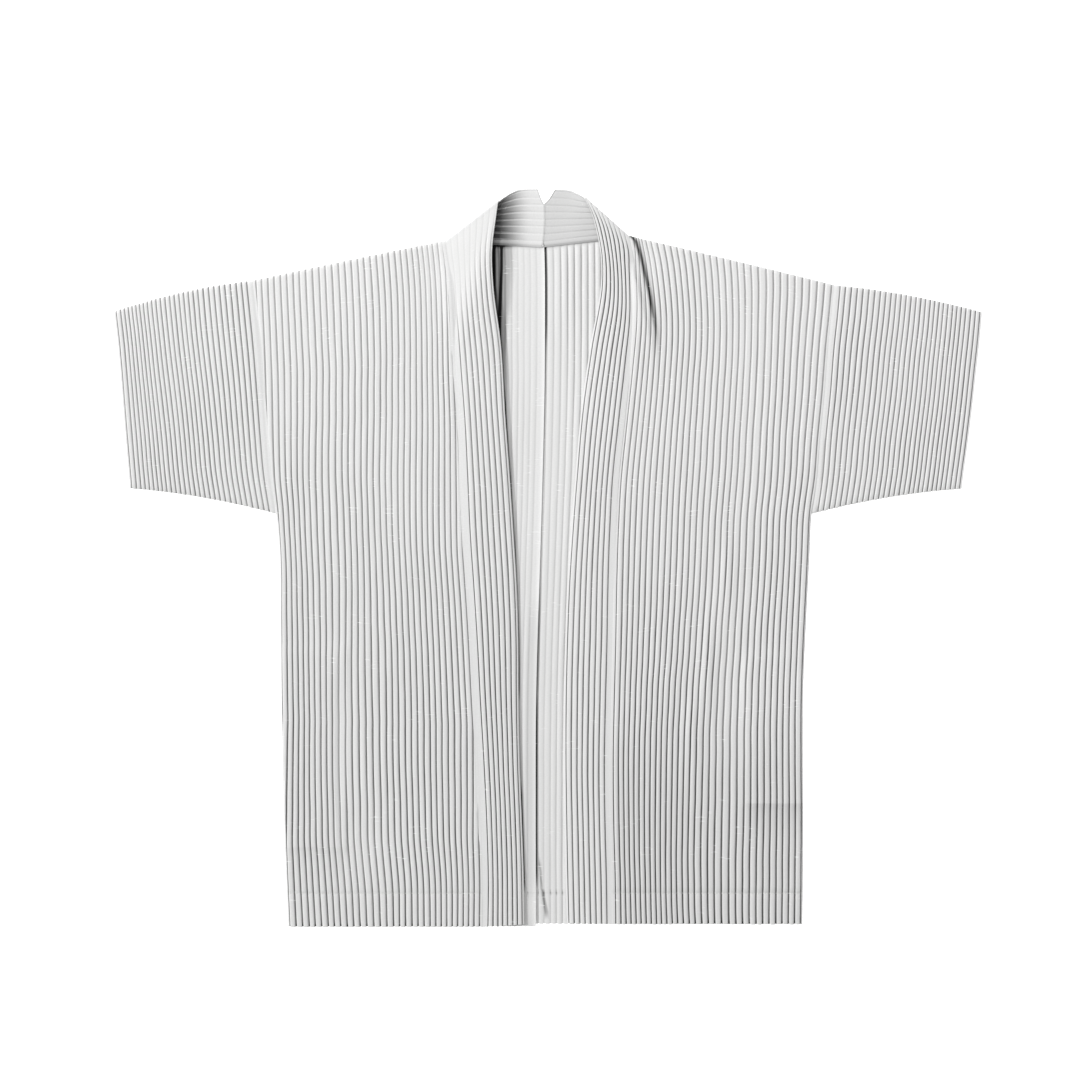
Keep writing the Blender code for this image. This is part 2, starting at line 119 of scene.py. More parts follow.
class NeckRow(NamedTuple):
    """A line across the band behind the neck, with the height of its middle at both ends."""

    seam_x: float
    seam_y: float
    edge_x: float
    edge_y: float
    bow: float
    seam_z: float
    edge_z: float


class EdgeRow(NamedTuple):
    """A point of the band's free edge down a front, and the height of the band's seam there."""

    seam_z: float
    x: float
    y: float
    z: float


class PitchZone(NamedTuple):
    """A place where pleats lie wider or narrower: pleat number, y, how far it reaches, how much."""

    pleat: float
    y: float
    reach: float
    drop: float
    gain: float


class RunOut(NamedTuple):
    """How many pleats have run out at a panel's high edge at a height y."""

    y: float
    pleats: float


class Crease(NamedTuple):
    """A soft ridge (height above 0) or trough (below 0) along a line, fading at both ends.

    Seen down the line from its first end, "near" is its width on the left and "far" on the right.
    """

    x1: float
    y1: float
    x2: float
    y2: float
    near: float
    far: float
    height: float


class Drift(NamedTuple):
    """A place where the pleats are pushed sideways."""

    x: float
    y: float
    reach_x: float
    reach_y: float
    shift: float


class Stress(NamedTuple):
    """A place where pleats stand higher, with more painted shade in their grooves (gain above 0), or lie
    flatter, with less (below 0).
    """

    x: float
    y: float
    reach_x: float
    reach_y: float
    gain: float


class Furrow(NamedTuple):
    """A narrow furrow along a line from neck to hem: a dip of "drop", with painted shade of "dark" along
    it.

    "left" and "right" are its widths on its two sides, and its ends fade over "fade".
    """

    path: tuple[tuple[float, float], ...]
    left: float
    right: float
    drop: float
    dark: float
    fade: float


class Bag(NamedTuple):
    """The outline of a pocket bag, and the strength of the painted shade on the cloth below it."""

    low_x: float
    low_y: float
    high_x: float
    high_y: float
    tone: float


class Side(Enum):
    """The half of the garment that a piece belongs to, as seen from above."""

    LEFT = "left"
    RIGHT = "right"


# The rows for edges and seams below are places measured on the photograph, in millimetres, moved
# apart a little at seams. The rows for zones, creases and painted shades are set to look like it.
FRONT_LEFT = (
    Section(-309.6, 290.9, -107.0, 333.0, 0.5, 0.0),
    Section(-308.0, 275.4, -104.2, 315.5, 0.5, 0.0),
    Section(-306.4, 259.9, -102.2, 299.8, 0.5, 0.0),
    Section(-302.7, 223.1, -98.7, 253.6, 0.5, 0.3),
    Section(-298.5, 170.6, -95.3, 199.0, 0.4, 0.5),
    Section(-294.9, 123.4, -91.1, 139.1, 0.2, 0.6),
    Section(-291.2, 83.5, -88.5, 81.4, 0.0, 0.6),
    Section(-285.4, 45.7, -85.9, 23.6, 0.0, 0.5),
    Section(-281.9, -2.6, -82.3, -28.9, 0.0, 0.4),
    Section(-281.4, -67.7, -78.6, -86.6, 0.0, 0.0),
    Section(-280.8, -139.1, -75.4, -149.6, 0.0, -0.6),
    Section(-279.3, -212.6, -71.7, -212.6, 0.0, -0.8),
    Section(-277.2, -277.7, -68.6, -277.7, 0.0, 0.6),
    Section(-275.1, -338.6, -67.0, -338.6, 0.0, 2.4),
    Section(-273.0, -387.2, -67.4, -387.2, 0.0, 3.4),
)
FRONT_RIGHT = (
    Section(85.1, 337.8, 300.1, 286.1, 0.5, 0.0),
    Section(87.4, 318.6, 298.8, 272.0, 0.5, 0.0),
    Section(88.2, 299.8, 297.5, 257.8, 0.5, 0.0),
    Section(88.8, 253.6, 293.8, 223.1, 0.5, -0.3),
    Section(84.5, 199.0, 289.6, 170.6, 0.4, -0.5),
    Section(78.2, 139.1, 284.9, 123.4, 0.2, -0.6),
    Section(72.3, 81.4, 281.7, 83.5, 0.0, -0.6),
    Section(69.2, 23.6, 276.5, 45.7, 0.0, -0.5),
    Section(67.6, -28.9, 274.2, -2.6, 0.0, -0.3),
    Section(66.6, -86.6, 270.9, -65.6, 0.0, 0.0),
    Section(65.0, -149.6, 267.8, -139.1, 0.0, 0.3),
    Section(63.9, -212.6, 267.4, -212.6, 0.0, 0.5),
    Section(64.4, -277.7, 267.8, -277.7, 0.0, 0.5),
    Section(66.0, -338.6, 267.4, -338.6, 0.0, 0.4),
    Section(66.6, -384.4, 266.9, -384.4, 0.0, 0.3),
)
BACK_LEFT = (
    CentreRow(0, -4.0, 326.4, 15.9),
    CentreRow(1, -3.4, 306.0, 14.0),
    CentreRow(2, -3.2, 286.0, 11.0),
    CentreRow(3, -3.2, 240.0, 4.0),
    CentreRow(4, -3.6, 182.0, 0.0),
    CentreRow(5, -4.6, 130.0, 0.0),
    CentreRow(6, -5.8, 83.5, 0.0),
    CentreRow(7, -7.0, 40.0, 0.0),
    CentreRow(8, -8.6, -10.0, 0.0),
    CentreRow(10, -12.4, -142.0, 0.0),
    CentreRow(12, -12.9, -277.7, 0.0),
    CentreRow(14, -12.6, -387.2, 0.0),
)
BACK_RIGHT = (
    CentreRow(0, -3.6, 326.4, 22.2),
    CentreRow(1, -3.0, 306.0, 17.0),
    CentreRow(2, -2.8, 286.0, 12.0),
    CentreRow(3, -2.8, 240.0, 4.0),
    CentreRow(4, -3.2, 182.0, 0.0),
    CentreRow(5, -4.2, 130.0, 0.0),
    CentreRow(6, -5.4, 83.5, 0.0),
    CentreRow(7, -6.6, 40.0, 0.0),
    CentreRow(8, -8.2, -10.0, 0.0),
    CentreRow(10, -12.0, -142.0, 0.0),
    CentreRow(12, -12.5, -277.7, 0.0),
    CentreRow(14, -12.2, -384.4, 0.0),
)
SLEEVE_LEFT = (
    CuffRow(-455.2, 258.6, 4.2),
    CuffRow(-453.4, 243.4, 4.0),
    CuffRow(-451.7, 228.6, 3.6),
    CuffRow(-448.8, 197.2, 2.6),
    CuffRow(-445.5, 156.0, 1.8),
    CuffRow(-442.6, 120.4, 1.2),
    CuffRow(-440.2, 92.6, 1.6),
    CuffRow(-438.5, 72.4, 3.6),
)
SLEEVE_RIGHT = (
    CuffRow(455.2, 257.8, 3.6),
    CuffRow(454.0, 243.0, 3.4),
    CuffRow(452.7, 228.4, 3.0),
    CuffRow(449.2, 197.2, 2.2),
    CuffRow(444.6, 156.0, 1.6),
    CuffRow(440.2, 120.4, 1.4),
    CuffRow(436.4, 92.6, 2.0),
    CuffRow(433.6, 71.9, 3.8),
)
NECK_LEFT = (
    NeckRow(-5.5, 327.1, -11.0, 387.2, 2.5, 0.75, 0.75),
    NeckRow(-31.5, 328.4, -29.5, 386.3, 0.5, 0.8, 1.2),
    NeckRow(-62.0, 330.0, -40.5, 381.6, 0.0, 1.2, 2.8),
    NeckRow(-88.0, 331.2, -46.4, 377.4, 0.0, 1.6, 4.4),
)
NECK_RIGHT = (
    NeckRow(-4.8, 327.1, 7.4, 386.6, -3.5, 0.75, 0.75),
    NeckRow(12.6, 329.1, 21.5, 385.6, -0.5, 0.8, 1.0),
    NeckRow(38.0, 332.1, 29.5, 382.4, 0.0, 1.1, 2.4),
    NeckRow(63.0, 335.0, 34.6, 379.8, 0.0, 1.5, 4.0),
)
# Where each half of the band folds over: from its seam to its free edge.
FOLD_LEFT = ((-106.1, 332.3), (-52.6, 373.6))
FOLD_RIGHT = ((84.0, 337.6), (38.6, 377.6))
EDGE_LEFT = (
    EdgeRow(3.3, -54.6, 355.0, 8.2),
    EdgeRow(3.4, -57.8, 331.0, 8.2),
    EdgeRow(3.5, -57.4, 287.0, 7.6),
    EdgeRow(3.5, -49.2, 222.0, 6.2),
    EdgeRow(3.3, -45.0, 152.0, 5.0),
    EdgeRow(3.2, -40.2, 86.0, 4.2),
    EdgeRow(3.2, -36.2, 25.0, 3.8),
    EdgeRow(3.2, -33.0, -28.9, 3.1),
    EdgeRow(3.2, -31.2, -86.6, 2.8),
    EdgeRow(3.2, -30.9, -149.6, 2.6),
    EdgeRow(3.2, -29.8, -212.6, 2.6),
    EdgeRow(3.2, -27.4, -277.7, 2.6),
    EdgeRow(3.2, -25.4, -338.6, 2.6),
    EdgeRow(3.2, -24.8, -384.6, 2.6),
)
EDGE_RIGHT = (
    EdgeRow(3.3, 45.5, 361.0, 7.8),
    EdgeRow(3.4, 52.2, 336.0, 7.6),
    EdgeRow(3.5, 55.8, 292.0, 6.8),
    EdgeRow(3.5, 44.5, 222.0, 5.6),
    EdgeRow(3.3, 34.6, 152.0, 4.6),
    EdgeRow(3.2, 28.6, 84.0, 4.0),
    EdgeRow(3.2, 24.0, 24.0, 3.6),
    EdgeRow(3.2, 20.6, -28.9, 3.1),
    EdgeRow(3.2, 18.4, -86.6, 2.8),
    EdgeRow(3.2, 17.0, -149.6, 2.6),
    EdgeRow(3.2, 16.8, -212.6, 2.6),
    EdgeRow(3.2, 17.6, -277.7, 2.6),
    EdgeRow(3.2, 18.7, -338.6, 2.6),
    EdgeRow(3.2, 19.9, -383.2, 2.6),
)
BAG_LEFT = Bag(-276.0, -303.0, -214.0, -97.0, 0.05)
BAG_RIGHT = Bag(209.0, -257.0, 263.0, -104.0, 0.17)

ZONES_FRONT_LEFT = (
    PitchZone(29.0, 270.0, 5.0, 200.0, -0.16),
    PitchZone(10.0, 260.0, 9.0, 140.0, 0.08),
    PitchZone(1.0, -10.0, 4.0, 140.0, -0.16),
    PitchZone(8.5, 15.0, 1.6, 115.0, 0.18),
    PitchZone(4.0, -235.0, 5.0, 115.0, -0.08),
    PitchZone(12.5, -255.0, 4.5, 135.0, 0.13),
    PitchZone(15.5, -108.0, 1.5, 75.0, 0.12),
    PitchZone(27.0, -360.0, 5.0, 90.0, -0.08),
)
# The pleats of the left front run straight on, so some run out at its band from the hem up, and
# as many come in at its side.
RUN_OUT_LEFT = (
    RunOut(340.0, 3.4),
    RunOut(165.0, 2.0),
    RunOut(18.0, 1.0),
    RunOut(-171.0, 1.0),
    RunOut(-297.0, 0.0),
)
ZONES_FRONT_RIGHT = (
    PitchZone(1.0, 345.0, 2.6, 80.0, -0.72),
    PitchZone(2.0, 230.0, 6.0, 130.0, -0.12),
    PitchZone(3.0, -300.0, 7.0, 300.0, -0.13),
    PitchZone(19.5, -280.0, 5.5, 200.0, 0.17),
    PitchZone(7.0, -375.0, 7.0, 90.0, -0.10),
    PitchZone(21.0, 130.0, 0.7, 260.0, 0.28),
    PitchZone(14.0, 160.0, 3.0, 110.0, 0.06),
    PitchZone(28.0, -5.0, 3.0, 100.0, -0.11),
    PitchZone(26.0, 270.0, 6.0, 110.0, 0.10),
)
ZONES_SLEEVE_LEFT = (
    PitchZone(0.0, 150.0, 1.2, 300.0, 0.20),
    PitchZone(4.0, 240.0, 4.0, 70.0, -0.10),
    PitchZone(22.0, 240.0, 6.0, 90.0, 0.08),
)
ZONES_SLEEVE_RIGHT = (
    PitchZone(3.0, 240.0, 3.0, 110.0, 0.10),
    PitchZone(26.0, 150.0, 1.5, 300.0, 0.18),
)
ZONES_BACK = (
    PitchZone(30.0, 200.0, 4.0, 300.0, 0.10),
)
ZONES_BACK_RIGHT = (
    PitchZone(2.0, 200.0, 4.0, 300.0, 0.10),
)

CREASES_FRONT_LEFT = (
    Crease(-118.0, 330.0, -112.0, 236.0, 5.0, 5.0, -0.6),
    Crease(-216.0, -90.0, -214.0, -318.0, 9.0, 7.0, -0.8),
    Crease(-268.0, 40.0, -196.0, -60.0, 14.0, 14.0, 0.5),
    Crease(-150.0, 20.0, -168.0, -150.0, 12.0, 12.0, 0.5),
)
CREASES_FRONT_RIGHT = (
    Crease(70.0, 374.0, 118.0, 190.0, 1.8, 7.0, 1.7),
    Crease(208.0, 60.0, 148.0, -250.0, 14.0, 14.0, 0.6),
    Crease(178.0, 20.0, 128.0, -220.0, 10.0, 10.0, -0.5),
)
DRIFTS_FRONT_LEFT = (
    Drift(-222.0, -150.0, 26.0, 90.0, -0.6),
)
DRIFTS_FRONT_RIGHT = (
    Drift(150.0, -230.0, 50.0, 130.0, -1.6),
)

STRESSES_FRONT_LEFT = (
    Stress(-118.0, 305.0, 20.0, 55.0, -0.50),
    Stress(-268.0, -190.0, 16.0, 170.0, 0.28),
    Stress(-217.0, -200.0, 7.0, 110.0, -0.50),
    Stress(-192.0, -312.0, 24.0, 48.0, -0.32),
    Stress(-120.0, -240.0, 46.0, 130.0, 0.14),
    Stress(-270.0, 66.0, 12.0, 34.0, 0.25),
    Stress(-166.0, 60.0, 22.0, 90.0, -0.16),
    Stress(-103.0, 190.0, 7.0, 75.0, 0.35),
)
STRESSES_FRONT_RIGHT = (
    Stress(104.0, -190.0, 30.0, 150.0, 0.26),
    Stress(186.0, -150.0, 17.0, 150.0, -0.26),
    Stress(240.0, -60.0, 40.0, 120.0, 0.20),
    Stress(104.0, 306.0, 12.0, 30.0, -0.45),
    Stress(262.0, 66.0, 12.0, 34.0, 0.20),
    Stress(206.0, 120.0, 14.0, 150.0, -0.18),
    Stress(188.0, -10.0, 6.0, 34.0, 0.45),
    Stress(167.0, -100.0, 6.0, 36.0, 0.50),
    Stress(150.0, -175.0, 6.0, 44.0, 0.45),
    Stress(150.0, -330.0, 130.0, 150.0, 0.22),
    Stress(125.0, 250.0, 42.0, 70.0, 0.30),
)
STRESSES_BACK_LEFT = (
    Stress(-17.5, -366.0, 7.0, 20.0, -0.85),
    Stress(-26.0, 300.0, 22.0, 100.0, -0.45),
)
STRESSES_BACK_RIGHT = (
    Stress(20.0, 290.0, 14.0, 62.0, 0.55),
    Stress(18.0, 100.0, 24.0, 90.0, -0.30),
)
FURROWS_FRONT_RIGHT = (
    Furrow(((60.0, 402.0), (82.5, 341.5), (91.4, 332.3), (96.6, 318.7), (99.8, 306.1), (102.9, 292.4),
            (107.1, 273.5), (113.4, 235.7), (116.6, 205.0)), 1.9, 3.0, 0.6, 1.8, 62.0),
)
FURROWS_BACK_LEFT = (
    Furrow(((-48.8, 340.0), (-48.8, 302.0), (-49.9, 270.0), (-51.2, 228.0)), 1.3, 1.4, 0.4, 1.9, 12.0),
)
FURROWS_BACK_RIGHT = (
    Furrow(((-9.6, -312.0), (-7.0, -345.0), (-1.6, -380.0)), 0.9, 1.1, 0.6, 1.3, 10.0),
    Furrow(((-5.9, -346.0), (0.7, -380.0)), 0.8, 1.0, 0.4, 0.8, 6.0),
)

# How dark the painted shadow beside the left band's free edge and the painted shade along the centre-back
# seam are at each y.
EDGE_PAINTED_SHADOW = (
    (360.0, 1.0), (190.0, 1.0), (60.0, 0.7), (0.0, 0.7), (-60.0, 0.5), (-110.0, 1.0), (-138.0, 1.0),
    (-152.0, 0.35), (-232.0, 0.4), (-250.0, 0.9), (-345.0, 1.0), (-352.0, 0.0),
)
CENTRE_PAINTED_SHADE = (
    (340.0, 0.95), (240.0, 0.95), (215.0, 0.6), (140.0, 0.38), (60.0, 0.15), (-20.0, 0.2), (-60.0, 0.7),
    (-140.0, 0.75), (-165.0, 1.0), (-336.0, 1.0), (-344.0, 0.0),
)


def hermite(knots: np.ndarray, values: np.ndarray, at: np.ndarray) -> np.ndarray:
    """Smooth curve through the knots.

    Each stretch is a cubic whose end slopes are the mean slopes of its neighbours.

    Args:
        knots: Rising places of the values.
        values: One row for each knot.
        at: Places to read.

    Returns:
        One row for each place.
    """
    slopes = np.gradient(values, knots, axis=0)
    index = np.clip(np.searchsorted(knots, at, side="right") - 1, 0, len(knots) - 2)
    span = (knots[index + 1] - knots[index])[:, None]
    part = (at - knots[index])[:, None] / span
    start = (1.0 + 2.0 * part) * (1.0 - part) ** 2
    leave = part * (1.0 - part) ** 2 * span
    arrive = part ** 2 * (part - 1.0) * span
    return (start * values[index] + leave * slopes[index]
            + (1.0 - start) * values[index + 1] + arrive * slopes[index + 1])


def ease(value: np.ndarray) -> np.ndarray:
    """Eased 0 to 1: three times the square less twice the cube of the value."""
    value = np.clip(value, 0.0, 1.0)
    return value * value * (3.0 - 2.0 * value)


def rounding(distance: np.ndarray, reach: float) -> np.ndarray:
    """Quarter ellipse from 0 at an edge to 1 at its reach."""
    return np.sqrt(1.0 - (1.0 - np.clip(distance / reach, 0.0, 1.0)) ** 2)


def waver(rng: np.random.Generator, along: np.ndarray, count: int, length: float) -> np.ndarray:
    """Slow uneven change along each of several pleats, about -1 to 1.

    Each pleat has three sine waves of falling length and size with chance starts.

    Args:
        rng: Source of the starts.
        along: Places along the pleats.
        count: Number of pleats.
        length: Longest wave.

    Returns:
        A row for each place and a column for each pleat.
    """
    total = np.zeros((len(along), count))
    for share, size in ((1.0, 0.5), (0.47, 0.32), (0.21, 0.18)):
        start = rng.uniform(0.0, 2.0 * pi, count)
        stretch = rng.uniform(0.8, 1.25, count)
        total += size * np.sin(2.0 * pi * along[:, None] / (length * share * stretch) + start)
    return total


@dataclass(frozen=True)
class PleatProfile:
    """Height across one pleat, from groove to groove, as shares of its width and height.

    A crisp pleat has a flat top and a narrow groove, a soft one is a low wave.
    """

    phases: tuple[float, ...]
    crisp: tuple[float, ...]
    soft: tuple[float, ...]


FINE_PLEAT = PleatProfile(
    (0.0, 0.05, 0.10, 0.16, 0.22, 0.30, 0.72, 0.80, 0.88, 0.95),
    (0.0, 0.17, 0.45, 0.80, 0.97, 1.0, 1.0, 0.93, 0.50, 0.15),
    (0.0, 0.07, 0.20, 0.40, 0.60, 0.80, 0.88, 0.68, 0.36, 0.13),
)
PLAIN_PLEAT = PleatProfile(
    (0.0, 0.10, 0.21, 0.48, 0.78, 0.90),
    (0.0, 0.50, 0.95, 1.0, 0.92, 0.46),
    (0.0, 0.20, 0.52, 1.0, 0.62, 0.26),
)
# The left back's has more points, for the painted shadow lines beside the band's free edge.
LINED_PLEAT = PleatProfile(
    (0.0, 0.10, 0.21, 0.32, 0.44, 0.56, 0.67, 0.78, 0.90),
    (0.0, 0.50, 0.95, 0.98, 1.0, 0.99, 0.97, 0.92, 0.46),
    (0.0, 0.20, 0.52, 0.80, 0.98, 0.97, 0.84, 0.62, 0.26),
)


def graded(table: tuple[tuple[float, float] | RunOut, ...], y: np.ndarray) -> np.ndarray:
    """A value read at each y from a table of y and value, from neck to hem."""
    rising = np.array(table)[::-1]
    return np.interp(y, rising[:, 0], rising[:, 1])


def between(table: np.ndarray, at: np.ndarray) -> np.ndarray:
    """Value of each row of a table at a place between two of its columns, a column vector."""
    low = np.clip(np.floor(at).astype(int), 0, table.shape[1] - 2)
    part = at - low
    rows = np.arange(len(table))
    return (table[rows, low] * (1.0 - part) + table[rows, low + 1] * part)[:, None]


@dataclass
class Pleats:
    """The run of the pleats of one panel.

    Args:
        count: Number of pleats.
        low_strip: Smooth strip before the first pleat.
        high_strip: Smooth strip after the last one.
        first_pitch: Width of the first pleat, against the last one's.
        last_pitch: Width of the last pleat.
        zones: Places where pleats lie wider or narrower.
        seed: Start of the chance changes.
        low_tuck: How far the panel runs on past share 0.
        high_tuck: How far it runs on past share 1.
        spare: Number of pleats laid before the first one, to come in where others run out.
        run_out: How many pleats run out at the high edge at each y.
        uneven: How much the pleats' widths vary by chance.
        depth_waver: How much their heights vary along them.
        softness: 0 for crisp pleats, 1 for soft ones.
        profile: Height across a pleat.
    """

    count: int
    low_strip: float
    high_strip: float
    seed: int
    first_pitch: float = 1.0
    last_pitch: float = 1.0
    zones: tuple[PitchZone, ...] = ()
    low_tuck: float = 0.0
    high_tuck: float = 0.0
    spare: int = 0
    run_out: tuple[RunOut, ...] = (RunOut(0.0, 0.0),)
    uneven: float = 0.05
    depth_waver: float = 0.18
    softness: float = 0.04
    profile: PleatProfile = FINE_PLEAT

    def padded(self, values: np.ndarray) -> np.ndarray:
        """Values of the pleats along the last axis, with values for the spare ones before them."""
        pads = [(0, 0)] * (values.ndim - 1) + [(self.spare, 0)]
        return np.pad(values, pads, mode="reflect")

    def ahead(self, heights: np.ndarray) -> np.ndarray:
        """How many spare pleats are still hidden before the low edge at each row."""
        return self.spare - graded(self.run_out, heights)

    def widths(self, heights: np.ndarray, rng: np.random.Generator) -> np.ndarray:
        """Width of each pleat at each row, before it is scaled to the panel."""
        numbers = np.arange(self.count + self.spare)[None, :] - self.ahead(heights)[:, None]
        width = self.first_pitch + (self.last_pitch - self.first_pitch) * numbers / (self.count - 1)
        width = width * (1.0 + self.uneven * self.padded(rng.uniform(-1.0, 1.0, self.count)))
        for zone in self.zones:
            across = (numbers - zone.pleat) / zone.reach
            down = ((heights - zone.y) / zone.drop)[:, None]
            width = width * (1.0 + zone.gain * np.exp(-across ** 2 - down ** 2))
        return width * (1.0 + 0.03 * self.padded(waver(rng, heights, self.count, 260.0)))

    def lay(self, span: np.ndarray, heights: np.ndarray) -> tuple[np.ndarray, np.ndarray]:
        """Share of the panel's width and height of the relief at each point of its grid.

        The widths of the pleats are added up from the low edge and scaled to the room between
        the strips. Pleats that have run out are pressed flat, in a tenth of a millimetre beside
        the strip. The relief is 0 in a groove and 1 on a full ridge.

        Args:
            span: Width of the panel at each row.
            heights: y of each row.

        Returns:
            Shares and relief, a row for each section and a column for each station.
        """
        rng = np.random.default_rng(self.seed)
        width = self.widths(heights, rng)
        rows = len(heights)
        low_edge = self.low_strip / span[:, None]
        high_edge = 1.0 - self.high_strip / span[:, None]
        ends = np.hstack([np.zeros((rows, 1)), np.cumsum(width, axis=1)])
        ahead = self.ahead(heights)
        first = between(ends, ahead)
        scale = (high_edge - low_edge) / (between(ends, ahead + self.count) - first)
        ends = low_edge + (ends - first) * scale
        steps = (width * scale)[:, :, None] * np.array(self.profile.phases)
        laid = np.hstack([(ends[:, :-1, None] + steps).reshape(rows, -1), ends[:, -1:]])
        kept = np.clip(laid, low_edge, high_edge)

        soft = np.clip(self.softness + 0.35 * waver(rng, heights, self.count, 330.0), 0.0, 1.0)
        depth = 1.0 + self.depth_waver * waver(rng, heights, self.count, 190.0)
        depth *= 1.0 + 0.12 * rng.uniform(-1.0, 1.0, self.count)
        soft, depth = self.padded(soft), self.padded(depth)
        shape = (np.array(self.profile.crisp) * (1.0 - soft[:, :, None])
                 + np.array(self.profile.soft) * soft[:, :, None])
        relief = np.hstack([(shape * depth[:, :, None]).reshape(rows, -1), np.zeros((rows, 1))])
        relief = np.where(np.abs(laid - kept) * span[:, None] > 0.01, STRIP_RELIEF, relief)
        laid = kept + PRESSED * (laid - kept)

        ones = np.ones((rows, 1))
        low = [-self.low_tuck / span[:, None]] if self.low_tuck else []
        low += [step * self.low_strip / span[:, None] for step in STRIP_STEPS]
        high = [1.0 - step * self.high_strip / span[:, None] for step in STRIP_STEPS[:0:-1]]
        high += [ones] + ([1.0 + self.high_tuck / span[:, None]] if self.high_tuck else [])
        shares = np.hstack(low + [laid] + high)
        flat_low = np.full((rows, len(low)), STRIP_RELIEF)
        flat_high = np.full((rows, len(high)), STRIP_RELIEF)
        return shares, np.hstack([flat_low, relief, flat_high])


@dataclass
class Skin:
    """One side of a piece of cloth on a grid: points in mm, place on the cloth, painted shade."""

    points: np.ndarray
    place: np.ndarray
    painted_shade: np.ndarray


def ring_faces(rows: int, columns: int, closed: bool) -> np.ndarray:
    """Corners of the quads of a shell of two grids, the second one under the first.

    Point (r, c) of the upper grid has number r * columns + c, and the lower grid's numbers
    follow on. The rims join the two grids along their borders.

    Args:
        rows: Rows of each grid.
        columns: Columns of each grid.
        closed: True where the last row meets the first, as on a tube.

    Returns:
        Four corners for each face.
    """
    numbers = np.arange(rows * columns).reshape(rows, columns)
    if closed:
        numbers = np.vstack([numbers, numbers[:1]])
    top_left, top_right = numbers[:-1, :-1], numbers[:-1, 1:]
    low_left, low_right = numbers[1:, :-1], numbers[1:, 1:]
    upper = np.stack([top_left, low_left, low_right, top_right], axis=-1).reshape(-1, 4)
    shift = rows * columns
    faces = [upper, upper[:, ::-1] + shift]
    runs = [numbers[:, 0], numbers[::-1, -1]]
    if not closed:
        runs += [numbers[-1, :], numbers[0, ::-1]]
    for run in runs:
        faces.append(np.stack([run[:-1], run[:-1] + shift, run[1:] + shift, run[1:]], axis=-1))
    return np.vstack(faces)


def volume(points: np.ndarray, faces: np.ndarray) -> float:
    """Volume inside a closed mesh of quads: the sum of the signed pyramids to the origin."""
    a, b, c, d = (points[faces[:, index]] for index in range(4))
    return float((np.einsum("ij,ij->i", a, np.cross(b, c)).sum()
                  + np.einsum("ij,ij->i", a, np.cross(c, d)).sum()) / 6.0)


def mesh_object(name: str, points: np.ndarray, faces: np.ndarray, smooth: float = 55.0) -> bpy.types.Object:
    """A mesh object at the origin from points in mm, with its faces turned outwards.

    Args:
        name: Name of the object.
        points: One row for each point.
        faces: Corners of each face.
        smooth: Angle in degrees past which an edge stays sharp.

    Returns:
        The object, linked to the scene.
    """
    if volume(points, faces) < 0.0:
        faces = faces[:, ::-1]
    mesh = bpy.data.meshes.new(name)
    mesh.from_pydata(points * MM, [], faces)
    mesh.polygons.foreach_set("use_smooth", np.ones(len(faces), dtype=bool))
    mesh.set_sharp_from_angle(angle=radians(smooth))
    mesh.update()
    piece = bpy.data.objects.new(name, mesh)
    bpy.context.scene.collection.objects.link(piece)
    return piece


def cloth_shell(name: str, outer: Skin, under: np.ndarray, closed: bool = False) -> bpy.types.Object:
    """A closed shell of cloth between a skin and the points under it.

    Args:
        name: Name of the object.
        outer: The side that shows.
        under: Points of the other side, on the same grid.
        closed: True for a tube.

    Returns:
        The object, with its place on the cloth as a UV map in mm and its painted shade as an attribute.
    """
    rows, columns = outer.painted_shade.shape
    points = np.vstack([outer.points.reshape(-1, 3), under.reshape(-1, 3)])
    piece = mesh_object(name, points, ring_faces(rows, columns, closed))
    mesh = piece.data
    corners = np.empty(len(mesh.loops), dtype=np.int32)
    mesh.loops.foreach_get("vertex_index", corners)
    place = np.vstack([outer.place.reshape(-1, 2)] * 2)
    layer = mesh.uv_layers.new(name="cloth_mm")
    layer.data.foreach_set("uv", place[corners].astype(np.float32).ravel())
    painted_shade = mesh.attributes.new("painted_shade", "FLOAT", "POINT")
    painted_shade.data.foreach_set("value", np.hstack([outer.painted_shade.ravel()] * 2).astype(np.float32))
    return piece


def lifted(creases: tuple[Crease, ...], x: np.ndarray, y: np.ndarray) -> np.ndarray:
    """Height that the creases add at each point.

    Across a crease the height falls off as a bell curve, and along it the height is eased in
    and out over a quarter of the length at each end.
    """
    total = np.zeros_like(x)
    for crease in creases:
        run_x, run_y = crease.x2 - crease.x1, crease.y2 - crease.y1
        length = np.hypot(run_x, run_y)
        along = ((x - crease.x1) * run_x + (y - crease.y1) * run_y) / length ** 2
        across = ((x - crease.x1) * run_y - (y - crease.y1) * run_x) / length
        fade = ease(along / 0.25) * ease((1.0 - along) / 0.25)
        width = np.where(across > 0.0, crease.far, crease.near)
        total += crease.height * fade * np.exp(-(across / width) ** 2)
    return total


def stressed(stresses: tuple[Stress, ...], x: np.ndarray, y: np.ndarray) -> np.ndarray:
    """What the strength of the pleats is multiplied by at each point, never below 0.08."""
    total = np.ones_like(x)
    for stress in stresses:
        across = (x - stress.x) / stress.reach_x
        down = (y - stress.y) / stress.reach_y
        total += stress.gain * np.exp(-across ** 2 - down ** 2)
    return np.maximum(total, 0.08)


def furrowed(furrow: Furrow, x: np.ndarray, y: np.ndarray) -> np.ndarray:
    """1 on a furrow's line, falling off as a bell curve on both sides and eased at both ends."""
    path = np.array(furrow.path)[::-1]
    middle = np.interp(y, path[:, 1], path[:, 0])
    width = np.where(x < middle, furrow.left, furrow.right)
    ends = ease((path[-1, 1] - y) / furrow.fade) * ease((y - path[0, 1]) / furrow.fade)
    return np.exp(-((x - middle) / width) ** 2) * ends


def stations(top: float, length: float, count: int, close: float = 1.2) -> np.ndarray:
    """Places from top to bottom of a panel, 0 to length, closer together at both ends."""
    ends = np.array([0.0, 0.35, 1.0, 2.0, 3.6]) * close
    middle = np.linspace(ends[-1], length - ends[-1], count)
    return top + np.concatenate([ends[:-1], middle, length - ends[:-1][::-1]])


